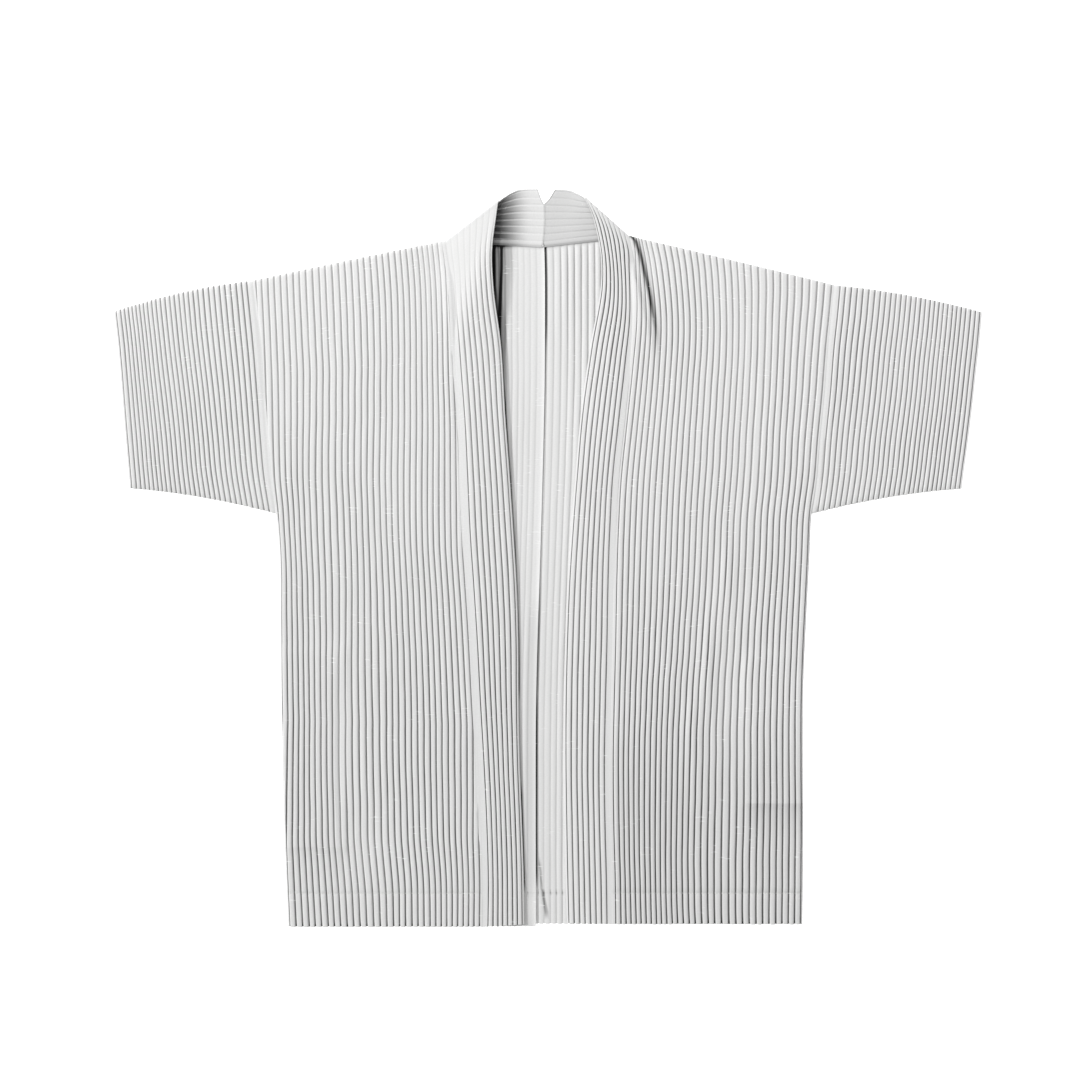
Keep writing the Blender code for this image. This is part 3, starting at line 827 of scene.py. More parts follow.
def painted_groove_shade(relief: np.ndarray) -> np.ndarray:
    """Painted shade of a groove: 1 at its bottom, falling to 0 seven tenths of the way up."""
    return ease(1.0 - relief / 0.70)


@dataclass
class Panel:
    """A flat panel of pleated cloth between two edges.

    Args:
        name: Name of the piece.
        sections: Lines across the panel from the neck to the hem.
        pleats: The run of its pleats.
        side: Half of the garment.
        under_z: Its lowest height.
        relief: Height of its ridges.
        peak: Where a section bends at the neck point, or None for an even bow.
        rows: Stations from the neck to the hem.
        creases: Main creases.
        drifts: Places where pleats are pushed sideways.
        bag: Pocket bag under it.
        upper: True for a panel that lies on another.
        stresses: Places where its pleats stand more or less.
        furrows: Narrow furrows with painted shade.
        tight: Heights y at which rows stand close together.
    """

    name: str
    sections: tuple[Section, ...]
    pleats: Pleats
    side: Side
    under_z: float
    relief: float
    rows: int
    peak: float | None = None
    creases: tuple[Crease, ...] = ()
    drifts: tuple[Drift, ...] = ()
    bag: Bag | None = None
    upper: bool = True
    stresses: tuple[Stress, ...] = ()
    furrows: tuple[Furrow, ...] = ()
    tight: tuple[float, ...] = (HEM_STITCH_Y,)

    def lines(self) -> tuple[np.ndarray, np.ndarray]:
        """Smooth sections at all stations, and how far each is from the top."""
        table = np.array(self.sections)
        down = -(table[:, 1] + table[:, 3]) / 2.0
        close = [step - height for height in self.tight for step in (-1.0, 0.0, 1.0)]
        at = np.unique(np.concatenate([stations(down[0], down[-1] - down[0], self.rows), close]))
        return hermite(down, table, at), at - down[0]

    def skin(self) -> Skin:
        """The upper side: sections with the relief of the pleats, lifts and rolled edges."""
        lines, down = self.lines()
        left_x, left_y, right_x, right_y, bow, lean = (lines[:, index, None] for index in range(6))
        span = (right_x - left_x)[:, 0]
        heights = (left_y + right_y)[:, 0] / 2.0
        shares, relief = self.pleats.lay(span, heights)
        inside = np.clip(shares, 0.0, 1.0)
        if self.peak is None:
            arch = 4.0 * inside * (1.0 - inside)
        else:
            arch = np.minimum(inside / self.peak, (1.0 - inside) / (1.0 - self.peak))
        x = left_x + (right_x - left_x) * shares + lean * arch
        y = left_y + (right_y - left_y) * shares + bow * arch
        for drift in self.drifts:
            push = np.exp(-((x - drift.x) / drift.reach_x) ** 2 - ((y - drift.y) / drift.reach_y) ** 2)
            x = x + drift.shift * push * np.clip(12.0 * inside * (1.0 - inside), 0.0, 1.0)
        to_low = np.maximum(shares * span[:, None], 0.0)
        to_high = np.maximum((1.0 - shares) * span[:, None], 0.0)
        from_top = np.repeat(down[:, None], shares.shape[1], axis=1)
        from_hem = down[-1] - from_top

        pull = stressed(self.stresses, x, y)
        pinch = np.exp(-((y - HEM_STITCH_Y) / 0.9) ** 2)
        strength = self.strength(x, y, from_top, from_hem) * pull * (1.0 - 0.3 * pinch)
        z = self.under_z + CLOTH + self.relief * relief * strength
        z = z + lifted(self.creases, x, y) + self.slow_swell(x, y)
        # Painted shade: in the grooves, where the pleats stand higher, at the hem's stitch line and along
        # each furrow.
        dark = self.painted_shade(x, y, relief, from_top, from_hem) * pull ** 0.7 + 0.14 * pinch
        for furrow in self.furrows:
            share = furrowed(furrow, x, y)
            z = z - furrow.drop * share
            dark = dark + furrow.dark * share
        z = z + self.lift(x, y, to_low, to_high)
        z = z - self.edge_fall(to_low, to_high, from_top, y)
        z = np.maximum(z, REST_Z + CLOTH)
        y = y + self.scallop(relief, from_top, from_hem)
        place = np.stack([shares * span[:, None], -down[:, None] + 0.0 * shares], axis=-1)
        return Skin(np.stack([x, y, z], axis=-1), place, dark)

    def painted_shade(self, x: np.ndarray, y: np.ndarray, relief: np.ndarray, from_top: np.ndarray,
              from_hem: np.ndarray) -> np.ndarray:
        """Painted shade in the grooves, deepest at both cut edges, where they look into the layers below.

        On the right, painted shade also darkens the whole cloth a little towards the hem, where less light
        falls.
        """
        ends = 2.0 * np.exp(-from_hem / 1.8) + 0.7 * np.exp(-from_top / 1.5)
        painted_falloff_shade = 0.12 * ease((x + 100.0) / 200.0) * ease((-140.0 - y) / 120.0)
        groove_painted_shade = painted_groove_shade(relief) * (0.74 + 0.68 * ease(from_top / DEEPEN) + ends)
        return groove_painted_shade + painted_falloff_shade + self.bag_painted_shade(x, y)

    def bag_painted_shade(self, x: np.ndarray, y: np.ndarray) -> np.ndarray:
        """Painted shade on the thin cloth just below its pocket bag, where no layers behind it send light
        back through.
        """
        if self.bag is None:
            return np.zeros_like(x)
        inner = self.bag.high_x - x if self.side is Side.LEFT else x - self.bag.low_x
        below = self.bag.low_y - y
        fade = 1.0 - ease((below - 3.0) / 45.0)
        return self.bag.tone * ease(inner / 2.0) * ease(below) * fade

    def strength(self, x: np.ndarray, y: np.ndarray, from_top: np.ndarray,
                 from_hem: np.ndarray) -> np.ndarray:
        """How strongly the pleats stand at each point: a little more towards the hem."""
        patch = 0.5 + 0.5 * np.sin(x / 37.0 + 1.3 * np.sin(y / 61.0))
        return 0.68 + 0.12 * patch + 0.34 * ease(from_top / DEEPEN) - 0.25 * ease(1.0 - from_top / 5.0)

    def slow_swell(self, x: np.ndarray, y: np.ndarray) -> np.ndarray:
        """Low broad swells of cloth that was laid down by hand."""
        if not self.upper:
            return np.zeros_like(x)
        swell = 0.30 * np.sin(x / 34.0 + y / 160.0) * np.cos(y / 71.0 + x / 90.0)
        return swell + 0.30

    def lift(self, x: np.ndarray, y: np.ndarray, to_low: np.ndarray, to_high: np.ndarray) -> np.ndarray:
        """Lift over a pocket bag."""
        if self.bag is None:
            return np.zeros_like(x)
        gap_x = np.maximum(np.maximum(self.bag.low_x - x, x - self.bag.high_x), 0.0)
        gap_y = np.maximum(np.maximum(self.bag.low_y - y, y - self.bag.high_y), 0.0)
        return BAG_LIFT * (1.0 - ease((np.hypot(gap_x, gap_y) - 1.0) / 5.0))

    def edge_fall(self, to_low: np.ndarray, to_high: np.ndarray, from_top: np.ndarray,
                  y: np.ndarray) -> np.ndarray:
        """How far the cloth rolls down at the shoulder, at the side seam and where it is tucked."""
        if not self.upper:
            return 0.0 * y
        shoulder = SHOULDER_FALL * (1.0 - rounding(from_top, EDGE_ROUND))
        outer = to_low if self.side is Side.LEFT else to_high
        side = SIDE_FALL * (1.0 - rounding(outer, EDGE_ROUND)) * ease((60.0 - y) / 30.0)
        inner = to_high if self.side is Side.LEFT else to_low
        tucked = TUCK_FALL * (1.0 - ease(inner / 1.5))
        return np.maximum(np.maximum(shoulder, side), tucked)

    def scallop(self, relief: np.ndarray, from_top: np.ndarray, from_hem: np.ndarray) -> np.ndarray:
        """The cut edge runs further out on a ridge than in a groove."""
        ends = np.exp(-from_hem / 3.0)
        tops = np.exp(-from_top / 2.5)
        return (0.9 * ends - 0.4 * tops) * (EDGE_LEVEL - relief)

    def build(self) -> bpy.types.Object:
        """The panel as a shell of cloth."""
        skin = self.skin()
        under = skin.points - np.array([0.0, 0.0, CLOTH])
        return cloth_shell(self.name, skin, under)


@dataclass
class FrontPanel(Panel):
    """A front, which also climbs from a line beside the neck to the band.

    Args:
        climb: The line's upper and lower end.
    """

    climb: tuple[tuple[float, float], tuple[float, float]] = ((0.0, 1.0), (0.0, 0.0))

    def lift(self, x: np.ndarray, y: np.ndarray, to_low: np.ndarray, to_high: np.ndarray) -> np.ndarray:
        """Lift over the bag, and beside the neck towards the band's seam."""
        bag = super().lift(x, y, to_low, to_high)
        (top_x, top_y), (end_x, end_y) = self.climb
        down = (top_y - y) / (top_y - end_y)
        crease_x = top_x + (end_x - top_x) * np.clip(down, 0.0, 1.0)
        seam_x = self.sections[2].right_x if self.side is Side.LEFT else self.sections[2].left_x
        across = (x - crease_x) / (seam_x - crease_x)
        fade = ease(down / 0.6) * (1.0 - ease((down - 0.7) / 0.7))
        return bag + NECK_RISE * ease(across) * fade


@dataclass
class BackPanel(Panel):
    """A back, of which the part in the front opening and at the neck shows."""

    def lift(self, x: np.ndarray, y: np.ndarray, to_low: np.ndarray, to_high: np.ndarray) -> np.ndarray:
        """The left back's edge lies over the right one's along the centre-back seam."""
        if self.side is Side.LEFT:
            return (1.2 + 1.1 * ease((60.0 - y) / 200.0)) * ease(1.0 - to_high / 2.6)
        return -0.4 * ease(1.0 - to_low / 1.0)

    def strength(self, x: np.ndarray, y: np.ndarray, from_top: np.ndarray,
                 from_hem: np.ndarray) -> np.ndarray:
        """The back's pleats lie flat beside the centre-back seam and at the neck seam."""
        reach = np.where(x < CALM_X, 46.0, 33.0)
        calm = 0.92 - 0.66 * np.exp(-((x - CALM_X) / reach) ** 2)
        return calm * (1.0 - 0.85 * ease(1.0 - from_top / 5.0))

    def painted_shade(self, x: np.ndarray, y: np.ndarray, relief: np.ndarray, from_top: np.ndarray,
              from_hem: np.ndarray) -> np.ndarray:
        """Painted shade in the grooves, painted shadow in the hollow under the left band's free edge, and
        painted shade along the centre-back seam.

        The painted hollow and its shadow are wide beside the neck, and a narrow painted shadow line goes on
        down.
        The seam's painted shade lies on the right back, under the edge of the left one, which has a strip
        of lighter painted shade.
        """
        edge_x = graded(tuple((row.y, row.x) for row in EDGE_LEFT), y)
        centre_x = graded(tuple((row.y, row.x) for row in BACK_LEFT), y)
        gap = x - edge_x
        deep = ease((y - 190.0) / 110.0)
        hollow = 2.3 * deep * (1.0 - ease((gap - 1.5) / (1.5 + 2.5 * deep)))
        reach = 3.0 + 16.0 * ease((y - 200.0) / 110.0)
        shadow = 1.1 * ease((y - 170.0) / 40.0) * (1.0 - ease((gap / reach - 0.75) / 0.6))
        line = 2.0 * graded(EDGE_PAINTED_SHADOW, y) * (1.0 - ease((gap - 0.7) / 1.3))
        groove_painted_shade = painted_groove_shade(relief) * self.strength(x, y, from_top, from_hem)
        # Painted shade where the hem's stitch line pinches the grooves, and painted shadow under the band's
        # seam at the neck.
        stitched = painted_groove_shade(relief) * 0.9 * np.exp(-((y - HEM_STITCH_Y) / 1.5) ** 2)
        under_neck = (1.0 - ease((from_top - 1.0) / 2.4)) * (0.35 + 0.8 * ease((-28.0 - x) / 22.0))
        if self.side is Side.RIGHT:
            wide = 0.7 + 0.8 * ease((y - 190.0) / 70.0)
            seam = 1.9 * graded(CENTRE_PAINTED_SHADE, y) * (1.0 - ease((x - centre_x - wide) / 2.0))
        else:
            seam = 0.26 * ease((-30.0 - y) / 50.0) * ease((x - centre_x + 12.0) / 3.0)
        return groove_painted_shade + stitched + under_neck + seam + np.maximum(np.maximum(hollow, shadow), line)


@dataclass
class Sleeve:
    """A sleeve: a flat tube, folded along its top and seamed under the arm.

    Args:
        name: Name of the piece.
        sections: Lines across it from the top fold to the underarm seam.
        pleats: The run of its pleats.
        side: Half of the garment.
        rows: Stations from the top fold to the seam, on each layer.
        middle_z: Height at which its two layers meet, at the fold and at the seam.
    """

    name: str
    sections: tuple[Section, ...]
    pleats: Pleats
    side: Side
    rows: int
    middle_z: float = 1.7

    def build(self) -> bpy.types.Object:
        """The tube as a shell: round each ring the upper layer comes first, then the lower one.

        Near the fold and the seam each layer runs from the middle height to its own along a
        quarter ellipse.
        """
        table = np.array(self.sections)
        down = -(table[:, 1] + table[:, 3]) / 2.0
        at = stations(down[0], down[-1] - down[0], self.rows, 0.7)
        lines = hermite(down, table, at)
        left_x, left_y, right_x, right_y, bow, lean = (lines[:, index, None] for index in range(6))
        span = (right_x - left_x)[:, 0]
        shares, relief = self.pleats.lay(span, (left_y + right_y)[:, 0] / 2.0)
        arch = 4.0 * np.clip(shares, 0.0, 1.0) * (1.0 - np.clip(shares, 0.0, 1.0))
        x = left_x + (right_x - left_x) * shares
        y = left_y + (right_y - left_y) * shares + bow * arch
        from_top = np.repeat((at - at[0])[:, None], shares.shape[1], axis=1)
        from_low = from_top[-1] - from_top
        edge = np.minimum(from_top, from_low)
        roll = rounding(edge, EDGE_ROUND)
        armhole = (1.0 - shares if self.side is Side.LEFT else shares) * span[:, None]
        tucked = TUCK_FALL * (1.0 - ease(armhole / 1.5))

        patch = 0.5 + 0.5 * np.sin(x / 31.0 + 1.4 * np.sin(y / 47.0))
        strength = 0.86 + 0.16 * patch
        full = FRONT_Z + CLOTH + FRONT_RELIEF * relief * strength - tucked
        full = full + 0.3 + 0.3 * np.sin(x / 27.0 + y / 90.0) * np.cos(y / 52.0)
        floor = REST_Z + 0.9 * relief
        z_up = self.middle_z + (full - self.middle_z) * roll
        z_up_in = self.middle_z + (full - CLOTH - self.middle_z) * roll
        z_low = self.middle_z + (floor - self.middle_z) * roll
        z_low_in = self.middle_z + (floor + CLOTH - self.middle_z) * roll
        scallop = (EDGE_LEVEL - relief) * (0.7 * np.exp(-from_low / 2.5) - 0.4 * np.exp(-from_top / 2.5))
        y = y + scallop
        side = np.where(from_top < from_low, -1.0, 1.0)
        y_in = y + side * CLOTH * (1.0 - np.clip(edge / EDGE_ROUND, 0.0, 1.0))

        def ring(upper: np.ndarray, lower: np.ndarray) -> np.ndarray:
            """Upper rows from the fold to the seam, then lower rows back, ends not repeated."""
            return np.concatenate([upper, lower[-2:0:-1]])

        outer = np.stack([ring(x, x), ring(y, y), ring(z_up, z_low)], axis=-1)
        under = np.stack([ring(x, x), ring(y_in, y_in), ring(z_up_in, z_low_in)], axis=-1)
        place = np.stack([shares * span[:, None], -from_top], axis=-1)
        # Painted shade in the grooves, more at the fold and the underarm seam.
        dark = painted_groove_shade(relief) * (0.92 + 0.2 * patch + 0.9 * np.exp(-edge / 1.5))
        skin = Skin(outer, ring(place, place), ring(dark, dark))
        return cloth_shell(self.name, skin, under, closed=True)


@dataclass
class CollarBand:
    """Half of the collar band: behind the neck, over its fold and down the front.

    Args:
        name: Name of the piece.
        neck: Lines across it behind the neck, from the centre-back seam.
        fold: The line it folds over, from seam to free edge.
        edge: Its free edge down the front.
        sections: The front's sections, which give its seam.
        pleats: The run of its pleats from seam to free edge.
        side: Half of the garment.
        neck_crisp: Strength of the pleats behind the neck at the fold.
        fold_crisp: Their strength just after the fold.
        fold_fade: Length over which they then reach full strength.
        fold_delay: How much further on this starts for the pleats beside the seam.
        neck_dark: Painted shade of their grooves behind the neck at the fold.
        fold_dark: The same just after the fold.
        front_dark: The same at the end of the painted darkening down the front.
        dark_fade: Length of that painted darkening.
        hollow: Painted shade on the cloth under the fold.
        notch: Share of the centre-back end that is sewn, below its notch.
        notch_bend: How the notch widens: straight at 1, the lower the wider near its bottom.
        wall: Thickness of the band with the layers inside it.
        fold_steps: Steps round the fold.
        fold_bulge: How far the fold stands out, against a half circle.
        fold_seam_low: Height of the band's middle under the fold, at the seam.
        fold_edge_low: The same at the free edge.
        fold_seam_z: Height of the band's middle on top of the fold, at the seam.
        fold_edge_z: The same at the free edge.
    """

    name: str
    neck: tuple[NeckRow, ...]
    fold: tuple[tuple[float, float], tuple[float, float]]
    edge: tuple[EdgeRow, ...]
    sections: tuple[Section, ...]
    pleats: Pleats
    side: Side
    neck_crisp: float
    fold_crisp: float
    fold_fade: float
    fold_delay: float
    neck_dark: float
    fold_dark: float
    front_dark: float
    dark_fade: float
    hollow: float
    notch_bend: float
    notch: float = 0.72
    wall: float = 1.3
    fold_steps: int = 8
    fold_bulge: float = 0.45
    fold_seam_low: float = 1.4
    fold_edge_low: float = 4.6
    fold_seam_z: float = 3.4
    fold_edge_z: float = 8.2

    def coarse_rows(self) -> np.ndarray:
        """Seam point, edge point, bow and facing of each coarse row.

        Round the fold the rows stand on flattened half circles that rise from the lower layer to the
        upper one, with one more row close to each end of the fold so that the curve through
        the rows turns there. Facing is -1 where the inner side of the band shows and 1 where
        the outer side does.
        """
        rows = [
            (row.seam_x, row.seam_y, row.seam_z, row.edge_x, row.edge_y, row.edge_z, row.bow, -1.0)
            for row in self.neck
        ]
        seam, edge = np.array(self.fold[0]), np.array(self.fold[1])
        along = (edge - seam) / np.linalg.norm(edge - seam)
        outward = np.array([-along[1], along[0]])
        outward = outward if outward[1] > 0.0 else -outward
        for step in range(self.fold_steps + 1):
            angle = pi * step / self.fold_steps
            row = []
            for point, low_z, high_z in (
                (seam, self.fold_seam_low, self.fold_seam_z),
                (edge, self.fold_edge_low, self.fold_edge_z),
            ):
                radius = (high_z - low_z) / 2.0
                place = point + outward * self.fold_bulge * radius * (np.sin(angle) - 1.0)
                row += [*place, low_z + radius * (1.0 - np.cos(angle))]
            rows.append((*row, 0.0, -np.cos(angle)))
        for line, body in zip(self.edge, self.sections[1:]):
            seam_x = body.right_x if self.side is Side.LEFT else body.left_x
            seam_y = body.right_y if self.side is Side.LEFT else body.left_y
            rows.append((seam_x, seam_y, line.seam_z + 0.45, line.x, line.y, line.z, 0.0, 1.0))
        table = np.array(rows)
        before = len(self.neck) - 1
        after = before + self.fold_steps + 1
        near_before = 0.12 * table[before] + 0.88 * table[before + 1]
        near_after = 0.84 * table[after] + 0.16 * table[after + 1]
        return np.vstack([table[:before + 1], near_before, table[before + 1:after + 1], near_after,
                          table[after + 1:]])

    def fine_rows(self) -> np.ndarray:
        """Smooth rows, more of them on long stretches and round the fold."""
        coarse = self.coarse_rows()
        centre = (coarse[:, 0:3] + coarse[:, 3:6]) / 2.0
        steps = np.linalg.norm(np.diff(centre, axis=0), axis=1)
        knots = np.concatenate([[0.0], np.cumsum(np.maximum(steps, 0.2))])
        neck_count = len(self.neck)
        at = [np.array([0.7, 1.6])]
        for index in range(len(knots) - 1):
            if index < neck_count:
                count = 8
            elif index < neck_count + self.fold_steps + 2:
                count = 2
            else:
                count = 8
            at.append(np.linspace(knots[index], knots[index + 1], count, endpoint=False))
        at.append(knots[-1:])
        return hermite(knots, coarse, np.unique(np.concatenate(at)))

    def build(self) -> bpy.types.Object:
        """The band as a shell.

        The middle surface is ruled from seam to free edge. The pleats and half of the wall are
        added along its normal, and the wall is rounded off at the free edge.
        """
        rows = self.fine_rows()
        seam, edge = rows[:, 0:3], rows[:, 3:6]
        bow, facing = rows[:, 6, None], rows[:, 7, None]
        span = np.linalg.norm(edge - seam, axis=1)
        steps = np.linalg.norm(np.diff((seam + edge) / 2.0, axis=0), axis=1)
        along = np.concatenate([[0.0], np.cumsum(steps)])
        shares, relief = self.pleats.lay(span, -along)
        middle = seam[:, None, :] + (edge - seam)[:, None, :] * shares[:, :, None]
        inside = np.clip(shares, 0.0, 1.0)
        middle[:, :, 0] += bow * 4.0 * inside * (1.0 - inside)
        opened = np.clip((inside - self.notch) / (1.0 - self.notch), 0.0, 1.0) ** self.notch_bend
        sewn = (edge[:, 0:1] - seam[:, 0:1]) * (opened - inside)
        middle[:, :, 0] += sewn * ease(1.0 - along / 22.0)[:, None]
        middle[:, :, 2] += 0.8 * np.sin(pi * inside) * np.clip(facing, 0.0, 1.0)
        down_run = np.gradient(middle, axis=0)
        across_run = np.gradient(middle, axis=1)
        normal = np.cross(down_run, across_run)
        normal /= np.linalg.norm(normal, axis=2, keepdims=True)
        if self.side is Side.RIGHT:
            normal = -normal
        after = along[:, None] - along[np.argmax(facing[:, 0] > 0.0)]
        crisp, painted_shade = self.finish(relief, inside, middle[:, :, 0], along[:, None], after)
        rise = (relief - 0.4) * FRONT_RELIEF * crisp * facing
        if self.side is Side.LEFT:
            middle[:, :, 2] += 0.35 * ease(1.0 - along / 7.0)[:, None]
        free = np.maximum((1.0 - shares) * span[:, None], 0.0)
        half = self.wall / 2.0 * rounding(free + 0.02, 1.6)
        outer = middle + normal * (rise + half)[:, :, None]
        inner = middle + normal * (rise - half)[:, :, None]
        for layer in (outer, inner):
            layer[:, :, 2] = np.maximum(layer[:, :, 2], REST_Z)
        place = np.stack([shares * span[:, None], -along[:, None] + 0.0 * shares], axis=-1)
        return cloth_shell(self.name, Skin(outer, place, painted_shade), inner)

    def finish(self, relief: np.ndarray, inside: np.ndarray, x: np.ndarray, along: np.ndarray,
               after: np.ndarray) -> tuple[np.ndarray, np.ndarray]:
        """Strength of the pleats and the painted shade of the cloth.

        Behind the neck both grow from the centre back to the fold: painted dark bands on the left, faint
        painted lines on the right. Past the fold the pleats grow to their full size, with painted shade in
        their grooves.

        Args:
            relief: Height of the pleats, 0 to 1.
            inside: Share of the way from seam to free edge.
            x: x of each point.
            along: Distance from the centre back.
            after: Distance past the fold, below 0 before it.

        Returns:
            Strength and painted shade at each point.
        """
        grown = ease((np.abs(x) - 12.0) / 44.0) ** 1.3
        neck = 0.15 + (self.neck_crisp - 0.15) * grown
        ready = ease((after - self.fold_delay * (1.0 - inside)) / self.fold_fade)
        front = self.fold_crisp + (1.0 - self.fold_crisp) * ready
        lines = ease((relief - 0.7) / 0.3) if self.side is Side.LEFT else painted_groove_shade(relief)
        inner = lines * (0.05 + self.neck_dark * grown)
        inner = inner + self.hollow * ease((np.abs(x) - 17.0) / 35.0) + 0.5 * (1.0 - ease(inside / 0.03))
        if self.side is Side.RIGHT:
            inner = inner + 0.36 + 1.0 - ease(along / 1.6)
        else:
            inner = inner + 0.06 + 0.35 * (1.0 - ease((along - 0.6) / 1.0))
        darker = ease(after / self.dark_fade)
        outer = (self.fold_dark + (self.front_dark - self.fold_dark) * darker) * (0.2 + 0.8 * ready)
        outer = painted_groove_shade(relief) * outer * (1.0 + 0.38 * ease((after - 330.0) / 240.0))
        return np.where(after < 0.0, neck, front), np.where(after < 0.0, inner, outer)


@dataclass
class PocketBag:
    """A pocket bag between front and back: two layers of pocketing, flat and sewn at the edge.

    Args:
        name: Name of the piece.
        bag: Its outline.
        corner: Corner radius.
        low_z: Its underside.
        thick: Its thickness in the middle.
    """

    name: str
    bag: Bag
    corner: float = 9.0
    low_z: float = 2.52
    thick: float = 0.95

    def build(self) -> bpy.types.Object:
        """A flat pillow.

        Each corner of the rectangle is pulled in by 0.29 of its radius, and the thickness
        rises from the edge as a quarter ellipse.
        """
        a = np.sin(np.linspace(-0.5, 0.5, 33) * pi)[None, :]
        b = np.sin(np.linspace(-0.5, 0.5, 65) * pi)[::-1, None]
        half_x = (self.bag.high_x - self.bag.low_x) / 2.0
        half_y = (self.bag.high_y - self.bag.low_y) / 2.0
        pull = 0.29 * self.corner * (a * a) ** 6 * (b * b) ** 6
        x = (self.bag.low_x + self.bag.high_x) / 2.0 + half_x * a - np.sign(a) * pull
        y = (self.bag.low_y + self.bag.high_y) / 2.0 + half_y * b - np.sign(b) * pull
        x = x + 0.0 * b
        y = y + 0.0 * a
        edge = np.minimum(half_x * (1.0 - np.abs(a)), half_y * (1.0 - np.abs(b)))
        half = self.thick / 2.0 * (0.15 + 0.85 * rounding(edge, 4.0))
        centre = self.low_z + self.thick / 2.0
        outer = np.stack([x, y, centre + half], axis=-1)
        under = np.stack([x, y, centre - half], axis=-1)
        place = np.stack([x, y], axis=-1)
        return cloth_shell(self.name, Skin(outer, place, np.zeros_like(x)), under)


@dataclass
class Stitches:
    """A row of sewing stitches lying on a line of the cloth.

    Args:
        name: Name of the piece.
        path: Points along the line on the cloth's surface.
        pitch: Distance from stitch to stitch.
        length: Length of thread that shows.
        radius: Half the thread's thickness.
    """

    name: str
    path: np.ndarray
    pitch: float = 4.2
    length: float = 2.6
    radius: float = 0.32

    def build(self) -> bpy.types.Object:
        """Each stitch is a tube whose radius swells from 0.35 at its ends to 1 in its middle."""
        run = np.concatenate([[0.0], np.cumsum(np.linalg.norm(np.diff(self.path, axis=0), axis=1))])
        starts = np.arange(self.pitch / 2.0, run[-1] - self.length, self.pitch)
        stops, sides = 5, 6
        part = np.linspace(0.0, 1.0, stops)
        at = starts[:, None] + self.length * part
        middle = np.stack([np.interp(at, run, self.path[:, axis]) for axis in range(3)], axis=-1)
        forward = np.gradient(middle, axis=1)
        forward /= np.linalg.norm(forward, axis=2, keepdims=True)
        up = np.array([0.0, 0.0, 1.0])
        sideways = np.cross(forward, up)
        sideways /= np.linalg.norm(sideways, axis=2, keepdims=True)
        lift = np.cross(sideways, forward)
        swell = self.radius * (0.35 + 0.65 * np.sin(pi * part))[None, :, None, None]
        angle = np.linspace(0.0, 2.0 * pi, sides, endpoint=False)[None, None, :, None]
        rings = (middle[:, :, None, :] + 0.6 * self.radius * up
                 + swell * (np.cos(angle) * sideways[:, :, None, :] + np.sin(angle) * lift[:, :, None, :]))
        points = rings.reshape(-1, 3)
        numbers = np.arange(stops * sides).reshape(stops, sides)
        wrapped = np.hstack([numbers, numbers[:, :1]])
        tube = np.stack([wrapped[:-1, :-1], wrapped[:-1, 1:], wrapped[1:, 1:], wrapped[1:, :-1]], axis=-1)
        first, last = numbers[0], numbers[-1]
        caps = np.array([
            [first[0], first[5], first[4], first[3]], [first[0], first[3], first[2], first[1]],
            [last[0], last[1], last[2], last[3]], [last[0], last[3], last[4], last[5]],
        ])
        one = np.vstack([tube.reshape(-1, 4), caps])
        offsets = (np.arange(len(starts)) * stops * sides)[:, None, None]
        return mesh_object(self.name, points, (one[None] + offsets).reshape(-1, 4))


def linear(colour: str) -> tuple[float, float, float, float]:
    """A linear colour from an sRGB hex value such as "F2F1EE"."""
    values = [int(colour[index:index + 2], 16) / 255.0 for index in (0, 2, 4)]
    return (*[v / 12.92 if v <= 0.04045 else ((v + 0.055) / 1.055) ** 2.4 for v in values], 1.0)


def add_node(tree: bpy.types.NodeTree, kind: str, settings: dict | None = None,
             links: dict | None = None) -> bpy.types.Node:
    """Add a node to a tree.

    Args:
        tree: The material's tree.
        kind: Type of the node.
        settings: Properties by name, and input values by input name or number.
        links: Output sockets by the input name or number they feed.

    Returns:
        The new node.
    """
    node = tree.nodes.new(kind)
    for key, value in (settings or {}).items():
        if isinstance(key, str) and hasattr(node, key):
            setattr(node, key, value)
        else:
            node.inputs[key].default_value = value
    for key, output in (links or {}).items():
        tree.links.new(output, node.inputs[key])
    return node


class FleckMask(NamedTuple):
    """Where flecks show: noise at a size in mm, cut at "low" and "high" and scaled to "most"."""

    length_mm: float
    height_mm: float
    start: tuple[float, float, float]
    scale: float
    detail: float
    low: float
    high: float
    most: float


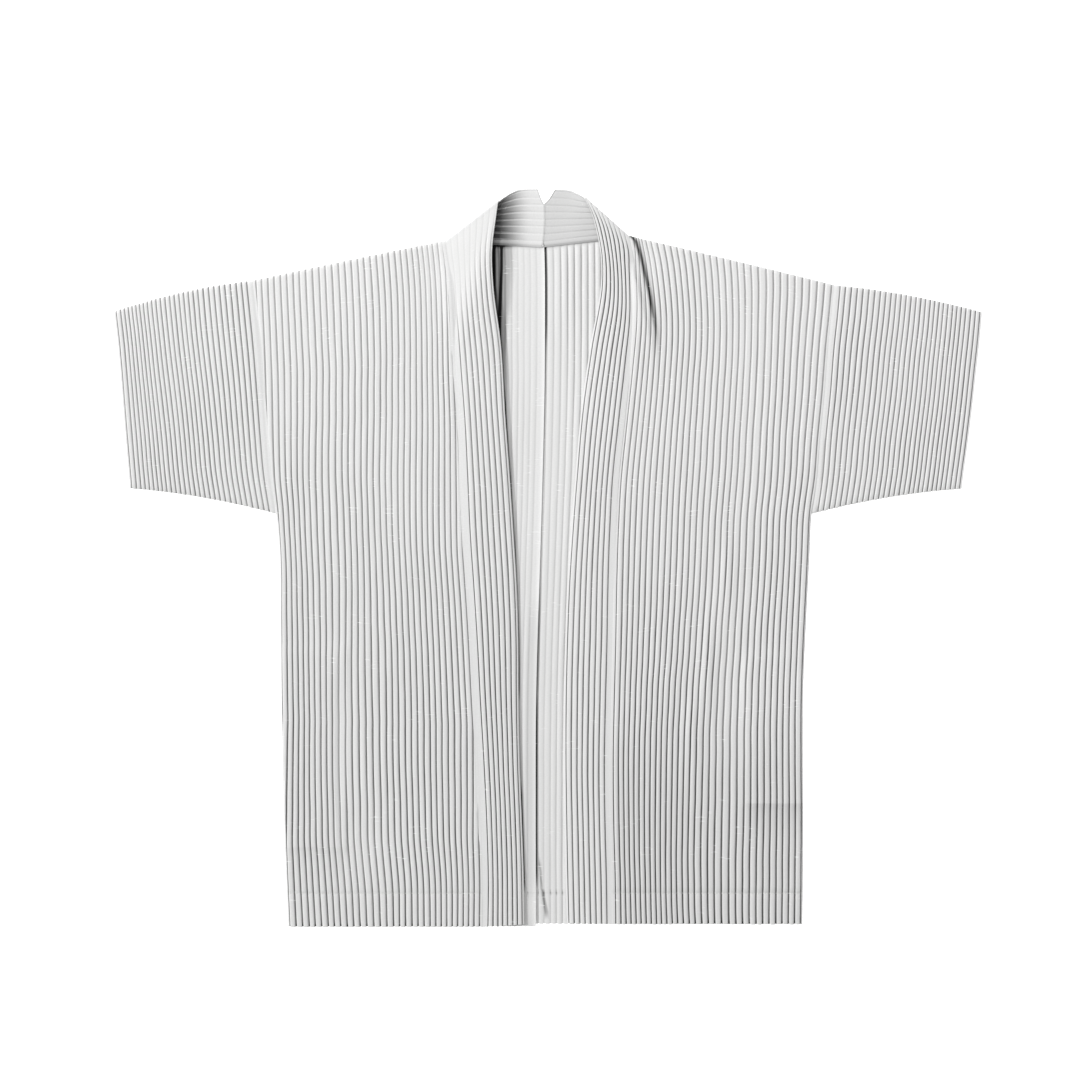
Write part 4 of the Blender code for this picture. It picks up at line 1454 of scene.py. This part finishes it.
@dataclass(frozen=True)
class PleatedPolyester:
    """Heat-set pleated polyester, woven off-white.

    It is matt with a faint sheen along the weft. Slubs show as short pale flecks across the pleats,
    and painted shade from each piece darkens its colour in grooves, hollows and seams.
    """

    name: str
    light: str = "F2F2F2"
    warm: str = "EDEDEC"
    # darkening by painted shade: the colour is halved at painted shade 1 and black at 2
    groove_painted_shade: float = 0.50
    roughness: float = 0.66
    sheen: float = 0.12
    thread_mm: float = 0.9       # drawn coarse: threads as fine as real ones wouldn't show
    slubs: FleckMask = FleckMask(7.0, 0.8, (3.7, 1.9, 0.0), 0.55, 1.0, 0.64, 0.70, 0.7)
    clusters: FleckMask = FleckMask(24.0, 24.0, (0.4, 7.3, 0.0), 1.0, 0.0, 0.60, 0.68, 1.0)
    cloud_mm: float = 70.0

    def build(self) -> bpy.types.Material:
        """The material, with its weave on the cloth's own UV map in mm."""
        material = bpy.data.materials.new(self.name)
        material.use_nodes = True
        tree = material.node_tree
        shader = tree.nodes["Principled BSDF"]
        shader.inputs["Roughness"].default_value = self.roughness
        shader.inputs["Sheen Weight"].default_value = self.sheen
        shader.inputs["Sheen Roughness"].default_value = 0.5
        shader.inputs["IOR"].default_value = 1.45
        shader.inputs["Specular IOR Level"].default_value = 0.25
        place = add_node(tree, "ShaderNodeUVMap", {"uv_map": "cloth_mm"}).outputs["UV"]
        thread = add_node(
            tree, "ShaderNodeMapping",
            {"Scale": (0.35 / self.thread_mm, 1.0 / self.thread_mm, 1.0)}, {"Vector": place})
        weave = add_node(
            tree, "ShaderNodeTexNoise", {"Scale": 1.0, "Detail": 2.0, "Roughness": 0.6},
            {"Vector": thread.outputs["Vector"]}).outputs["Fac"]
        shares = []
        for mask in (self.slubs, self.clusters):
            spot = add_node(
                tree, "ShaderNodeMapping",
                {"Scale": (1.0 / mask.length_mm, 1.0 / mask.height_mm, 1.0), "Location": mask.start},
                {"Vector": place})
            noise = add_node(
                tree, "ShaderNodeTexNoise", {"Scale": mask.scale, "Detail": mask.detail},
                {"Vector": spot.outputs["Vector"]}).outputs["Fac"]
            shares.append(add_node(
                tree, "ShaderNodeMapRange",
                {"From Min": mask.low, "From Max": mask.high, "To Min": 0.0, "To Max": mask.most},
                {"Value": noise}).outputs["Result"])
        slub = add_node(
            tree, "ShaderNodeMath", {"operation": "MULTIPLY"},
            {0: shares[0], 1: shares[1]}).outputs[0]
        cloud_place = add_node(
            tree, "ShaderNodeMapping", {"Scale": (1.0 / self.cloud_mm,) * 3}, {"Vector": place})
        cloud = add_node(
            tree, "ShaderNodeTexNoise", {"Scale": 1.0, "Detail": 3.0},
            {"Vector": cloud_place.outputs["Vector"]}).outputs["Fac"]
        base = add_node(
            tree, "ShaderNodeMix", {"data_type": "RGBA", 6: linear(self.warm), 7: linear(self.light)},
            {0: cloud}).outputs[2]
        thread_tone = add_node(
            tree, "ShaderNodeMapRange",
            {"From Min": 0.25, "From Max": 0.75, "To Min": 0.93, "To Max": 1.0},
            {"Value": weave}).outputs["Result"]
        # Painted shade from the piece's attribute multiplies the base colour, with the weave's tone.
        painted_shade = add_node(tree, "ShaderNodeAttribute", {"attribute_name": "painted_shade"}).outputs["Fac"]
        painted_shade_factor = add_node(
            tree, "ShaderNodeMapRange",
            {"From Min": 0.0, "From Max": 2.0, "To Min": 1.0, "To Max": 1.0 - 2.0 * self.groove_painted_shade},
            {"Value": painted_shade}).outputs["Result"]
        tone = add_node(
            tree, "ShaderNodeMath", {"operation": "MULTIPLY"}, {0: thread_tone, 1: painted_shade_factor}).outputs[0]
        grey = add_node(tree, "ShaderNodeCombineColor", {}, {0: tone, 1: tone, 2: tone}).outputs[0]
        toned = add_node(
            tree, "ShaderNodeMix", {"data_type": "RGBA", "blend_type": "MULTIPLY", 0: 1.0},
            {6: base, 7: grey}).outputs[2]
        flecked = add_node(
            tree, "ShaderNodeMix", {"data_type": "RGBA", 7: linear("FFFFFF")},
            {0: slub, 6: toned}).outputs[2]
        tree.links.new(flecked, shader.inputs["Base Color"])
        height = add_node(
            tree, "ShaderNodeMath", {"operation": "ADD"}, {0: weave, 1: slub}).outputs[0]
        bump = add_node(
            tree, "ShaderNodeBump", {"Strength": 0.35, "Distance": 0.00022}, {"Height": height})
        tree.links.new(bump.outputs["Normal"], shader.inputs["Normal"])
        return material


@dataclass(frozen=True)
class PlainCloth:
    """Plain woven polyester pocketing or spun polyester thread: matt, with a fine even weave."""

    name: str
    light: str
    dark: str
    roughness: float
    thread_mm: float

    def build(self) -> bpy.types.Material:
        """The material, on Object coordinates."""
        material = bpy.data.materials.new(self.name)
        material.use_nodes = True
        tree = material.node_tree
        shader = tree.nodes["Principled BSDF"]
        shader.inputs["Roughness"].default_value = self.roughness
        shader.inputs["IOR"].default_value = 1.45
        shader.inputs["Specular IOR Level"].default_value = 0.25
        place = add_node(tree, "ShaderNodeTexCoord").outputs["Object"]
        weave = add_node(
            tree, "ShaderNodeTexNoise", {"Scale": 1.0 / (self.thread_mm * MM), "Detail": 2.0},
            {"Vector": place}).outputs["Fac"]
        colour = add_node(
            tree, "ShaderNodeMix", {"data_type": "RGBA", 6: linear(self.dark), 7: linear(self.light)},
            {0: weave}).outputs[2]
        tree.links.new(colour, shader.inputs["Base Color"])
        bump = add_node(tree, "ShaderNodeBump", {"Strength": 0.3, "Distance": 0.0002}, {"Height": weave})
        tree.links.new(bump.outputs["Normal"], shader.inputs["Normal"])
        return material


@dataclass(frozen=True)
class Studio:
    """Pale floor, a key light low from the left, a soft light over the neck end, and the camera."""

    lens: float = 100.0
    sensor: float = 36.0
    key_elevation: float = 40.0
    key_azimuth: float = 168.0    # measured from +X towards +Y: 180 is straight from the left
    key_energy: float = 1.6
    key_angle: float = 6.0
    neck_energy: float = 11.5
    neck_place: tuple[float, float, float] = (-0.55, 1.15, 1.10)
    neck_target: tuple[float, float, float] = (0.0, 0.1, 0.0)
    neck_size: float = 1.6
    ambient: float = 0.385
    floor_half: float = 12.0
    floor_drop: float = 0.0004

    def build(self) -> None:
        """Make the floor, lights, world and camera."""
        scene = bpy.context.scene
        self.floor()
        self.sun("key_light", self.key_azimuth, self.key_elevation, self.key_energy, self.key_angle)
        self.area("neck_light", Vector(self.neck_place), Vector(self.neck_target), self.neck_size,
                  self.neck_energy)
        world = bpy.data.worlds.new("studio")
        world.use_nodes = True
        background = world.node_tree.nodes["Background"]
        background.inputs["Color"].default_value = (1.0, 1.0, 1.0, 1.0)
        background.inputs["Strength"].default_value = self.ambient
        scene.world = world
        width = FRAME_PX * PIXEL * MM
        camera_data = bpy.data.cameras.new("camera")
        camera_data.lens = self.lens
        camera_data.sensor_width = self.sensor
        camera = bpy.data.objects.new("camera", camera_data)
        centre_x = (FRAME_PX / 2.0 - ORIGIN_PX[0]) * PIXEL * MM
        centre_y = (ORIGIN_PX[1] - FRAME_PX / 2.0) * PIXEL * MM
        camera.location = (centre_x, centre_y, width * self.lens / self.sensor)
        scene.collection.objects.link(camera)
        scene.camera = camera
        scene.view_settings.view_transform = "Standard"

    def floor(self) -> None:
        """A pale floor just under the cloth."""
        size = self.floor_half
        mesh = bpy.data.meshes.new("floor")
        mesh.from_pydata([(-size, -size, 0.0), (size, -size, 0.0), (size, size, 0.0), (-size, size, 0.0)],
                         [], [(0, 1, 2, 3)])
        floor = bpy.data.objects.new("floor", mesh)
        floor.location.z = -self.floor_drop
        bpy.context.scene.collection.objects.link(floor)
        material = bpy.data.materials.new("white_paper_floor")
        material.use_nodes = True
        shader = material.node_tree.nodes["Principled BSDF"]
        shader.inputs["Base Color"].default_value = linear("FAFAFA")
        shader.inputs["Roughness"].default_value = 0.9
        shader.inputs["Specular IOR Level"].default_value = 0.0
        shader.inputs["Emission Color"].default_value = (1.0, 1.0, 1.0, 1.0)
        shader.inputs["Emission Strength"].default_value = 0.9
        mesh.materials.append(material)

    def sun(self, name: str, azimuth: float, elevation: float, energy: float, angle: float) -> None:
        """A far light from a compass direction and elevation in degrees."""
        data = bpy.data.lights.new(name, "SUN")
        data.energy = energy
        data.angle = radians(angle)
        lamp = bpy.data.objects.new(name, data)
        level = np.cos(radians(elevation))
        direction = Vector((level * np.cos(radians(azimuth)), level * np.sin(radians(azimuth)),
                            np.sin(radians(elevation))))
        lamp.rotation_euler = direction.to_track_quat("Z", "Y").to_euler()
        lamp.location = direction * 2.0
        bpy.context.scene.collection.objects.link(lamp)

    def area(self, name: str, place: Vector, target: Vector, size: float, energy: float) -> None:
        """A square soft light that faces a point."""
        data = bpy.data.lights.new(name, "AREA")
        data.shape = "SQUARE"
        data.size = size
        data.energy = energy
        lamp = bpy.data.objects.new(name, data)
        lamp.location = place
        lamp.rotation_euler = (place - target).to_track_quat("Z", "Y").to_euler()
        bpy.context.scene.collection.objects.link(lamp)


def back_sections(centre_rows: tuple[CentreRow, ...], front: tuple[Section, ...],
                  side: Side) -> tuple[Section, ...]:
    """Sections of a back: the front's outer edge again, and its own centre seam and neckline."""
    sections = []
    for row in centre_rows:
        outer = front[row.front_row]
        if side is Side.LEFT:
            sections.append(Section(outer.left_x, outer.left_y, row.x, row.y, row.peak, 0.0))
        else:
            sections.append(Section(row.x, row.y, outer.right_x, outer.right_y, row.peak, 0.0))
    return tuple(sections)


def sleeve_sections(cuff_rows: tuple[CuffRow, ...], front: tuple[Section, ...],
                    side: Side) -> tuple[Section, ...]:
    """Sections of a sleeve from its cuff to the front's armhole."""
    sections = []
    for cuff, body in zip(cuff_rows, front):
        if side is Side.LEFT:
            sections.append(Section(cuff.x, cuff.y, body.left_x, body.left_y, cuff.bow, 0.0))
        else:
            sections.append(Section(body.right_x, body.right_y, cuff.x, cuff.y, cuff.bow, 0.0))
    return tuple(sections)


def back_panels() -> list[BackPanel]:
    """The two backs, which meet in the centre-back seam."""
    return [
        BackPanel("back_cloth_left", back_sections(BACK_LEFT, FRONT_LEFT, Side.LEFT),
                  Pleats(43, SIDE_STRIP, CENTRE_STRIP, 11, zones=ZONES_BACK, profile=LINED_PLEAT,
                         softness=0.6),
                  Side.LEFT, REST_Z, BACK_RELIEF, BACK_ROWS, peak=0.667, upper=False,
                  stresses=STRESSES_BACK_LEFT, furrows=FURROWS_BACK_LEFT),
        BackPanel("back_cloth_right", back_sections(BACK_RIGHT, FRONT_RIGHT, Side.RIGHT),
                  Pleats(43, SIDE_STRIP, SIDE_STRIP, 12, zones=ZONES_BACK_RIGHT, low_tuck=TUCK,
                         profile=PLAIN_PLEAT, softness=0.2),
                  Side.RIGHT, REST_Z, BACK_RELIEF, BACK_ROWS, peak=0.293, upper=False,
                  stresses=STRESSES_BACK_RIGHT, furrows=FURROWS_BACK_RIGHT),
    ]


def front_panels() -> list[FrontPanel]:
    """The two fronts, open at the centre."""
    return [
        FrontPanel("front_cloth_left", FRONT_LEFT,
                   Pleats(31, FRONT_STRIP, SEAM_STRIP, 21, zones=ZONES_FRONT_LEFT, high_tuck=TUCK,
                          spare=4, run_out=RUN_OUT_LEFT),
                   Side.LEFT, FRONT_Z, FRONT_RELIEF, FRONT_ROWS, creases=CREASES_FRONT_LEFT,
                   drifts=DRIFTS_FRONT_LEFT, bag=BAG_LEFT, stresses=STRESSES_FRONT_LEFT,
                   tight=(HEM_STITCH_Y, BAG_LEFT.low_y),
                   climb=((-118.0, 333.0), (-112.0, 236.0))),
        FrontPanel("front_cloth_right", FRONT_RIGHT,
                   Pleats(31, SEAM_STRIP, FRONT_STRIP, 22, zones=ZONES_FRONT_RIGHT, low_tuck=TUCK),
                   Side.RIGHT, FRONT_Z, FRONT_RELIEF, FRONT_ROWS, creases=CREASES_FRONT_RIGHT,
                   drifts=DRIFTS_FRONT_RIGHT, bag=BAG_RIGHT, stresses=STRESSES_FRONT_RIGHT,
                   furrows=FURROWS_FRONT_RIGHT, tight=(HEM_STITCH_Y, BAG_RIGHT.low_y),
                   climb=((96.0, 333.0), (112.0, 212.0))),
    ]


def sleeves() -> list[Sleeve]:
    """The two sleeves."""
    return [
        Sleeve("sleeve_cloth_left", sleeve_sections(SLEEVE_LEFT, FRONT_LEFT, Side.LEFT),
               Pleats(28, SIDE_STRIP, ARMHOLE_STRIP, 31, 4.4, 5.9, ZONES_SLEEVE_LEFT, high_tuck=TUCK),
               Side.LEFT, SLEEVE_ROWS),
        Sleeve("sleeve_cloth_right", sleeve_sections(SLEEVE_RIGHT, FRONT_RIGHT, Side.RIGHT),
               Pleats(28, ARMHOLE_STRIP, SIDE_STRIP, 32, 5.9, 4.4, ZONES_SLEEVE_RIGHT, low_tuck=TUCK),
               Side.RIGHT, SLEEVE_ROWS),
    ]


def bands() -> list[CollarBand]:
    """The two halves of the collar band."""
    return [
        CollarBand("band_cloth_left", NECK_LEFT, FOLD_LEFT, EDGE_LEFT, FRONT_LEFT,
                   Pleats(7, SEAM_STRIP, SIDE_STRIP, 41, low_tuck=TUCK), Side.LEFT,
                   neck_crisp=0.9, fold_crisp=0.05, fold_fade=72.0, fold_delay=66.0, neck_dark=0.65,
                   fold_dark=0.75, front_dark=1.4, dark_fade=520.0, hollow=1.15, notch_bend=0.6),
        CollarBand("band_cloth_right", NECK_RIGHT, FOLD_RIGHT, EDGE_RIGHT, FRONT_RIGHT,
                   Pleats(7, SEAM_STRIP, SIDE_STRIP, 42, low_tuck=TUCK, softness=0.0), Side.RIGHT,
                   neck_crisp=0.2, fold_crisp=0.12, fold_fade=26.0, fold_delay=0.0, neck_dark=0.2,
                   fold_dark=2.3, front_dark=1.15, dark_fade=230.0, hollow=0.1, notch_bend=0.45),
    ]


def dress(piece: bpy.types.Object, material: bpy.types.Material, node: str | None = None) -> None:
    """Give a piece its material, body and slot, and put it in the place of its solid."""
    piece.data.materials.append(material)
    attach(piece, "root")
    if node:
        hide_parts(node)
    triangles = sum(len(polygon.vertices) - 2 for polygon in piece.data.polygons)
    LOG.info("%s: %d triangles", piece.name, triangles)


def hem_line(skin: Skin, y: float) -> np.ndarray:
    """The points of a skin on the row nearest to a height."""
    row = int(np.argmin(np.abs(skin.points[:, :, 1].mean(axis=1) - y)))
    return skin.points[row, 3:-3]


def main() -> None:
    """Build every piece, dress it and report it."""
    logging.basicConfig(level=logging.INFO, format="%(message)s")
    cloth = PleatedPolyester("pleated_polyester_off_white").build()
    back_cloth = PleatedPolyester("pleated_polyester_off_white_back").build()
    band_cloth = PleatedPolyester("pleated_polyester_off_white_band").build()
    pocketing = PlainCloth("woven_polyester_pocketing", "F0EFEC", "E2E1DD", 0.7, 0.6).build()
    thread = PlainCloth("spun_polyester_thread", "F6F6F4", "E6E6E3", 0.5, 0.4).build()

    for panel in back_panels():
        piece = panel.build()
        dress(piece, back_cloth, "back_" + panel.side.value)
    for bag, side in ((BAG_LEFT, "left"), (BAG_RIGHT, "right")):
        piece = PocketBag("pocket_cloth_" + side, bag).build()
        dress(piece, pocketing, "pocket_bag_" + side)
    for panel in front_panels():
        side = panel.side.value
        piece = panel.build()
        dress(piece, cloth, "front_" + side)
        row = Stitches("hem_stitches_" + side, hem_line(panel.skin(), HEM_STITCH_Y)).build()
        dress(row, thread)
    for sleeve in sleeves():
        piece = sleeve.build()
        dress(piece, cloth, "sleeve_" + sleeve.side.value)
    for band in bands():
        side = band.side.value
        piece = band.build()
        dress(piece, band_cloth, "band_" + side)
    Studio().build()
    LOG.info("jacket of %d nodes dressed", len(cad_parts))


if __name__ == "__main__":
    main()
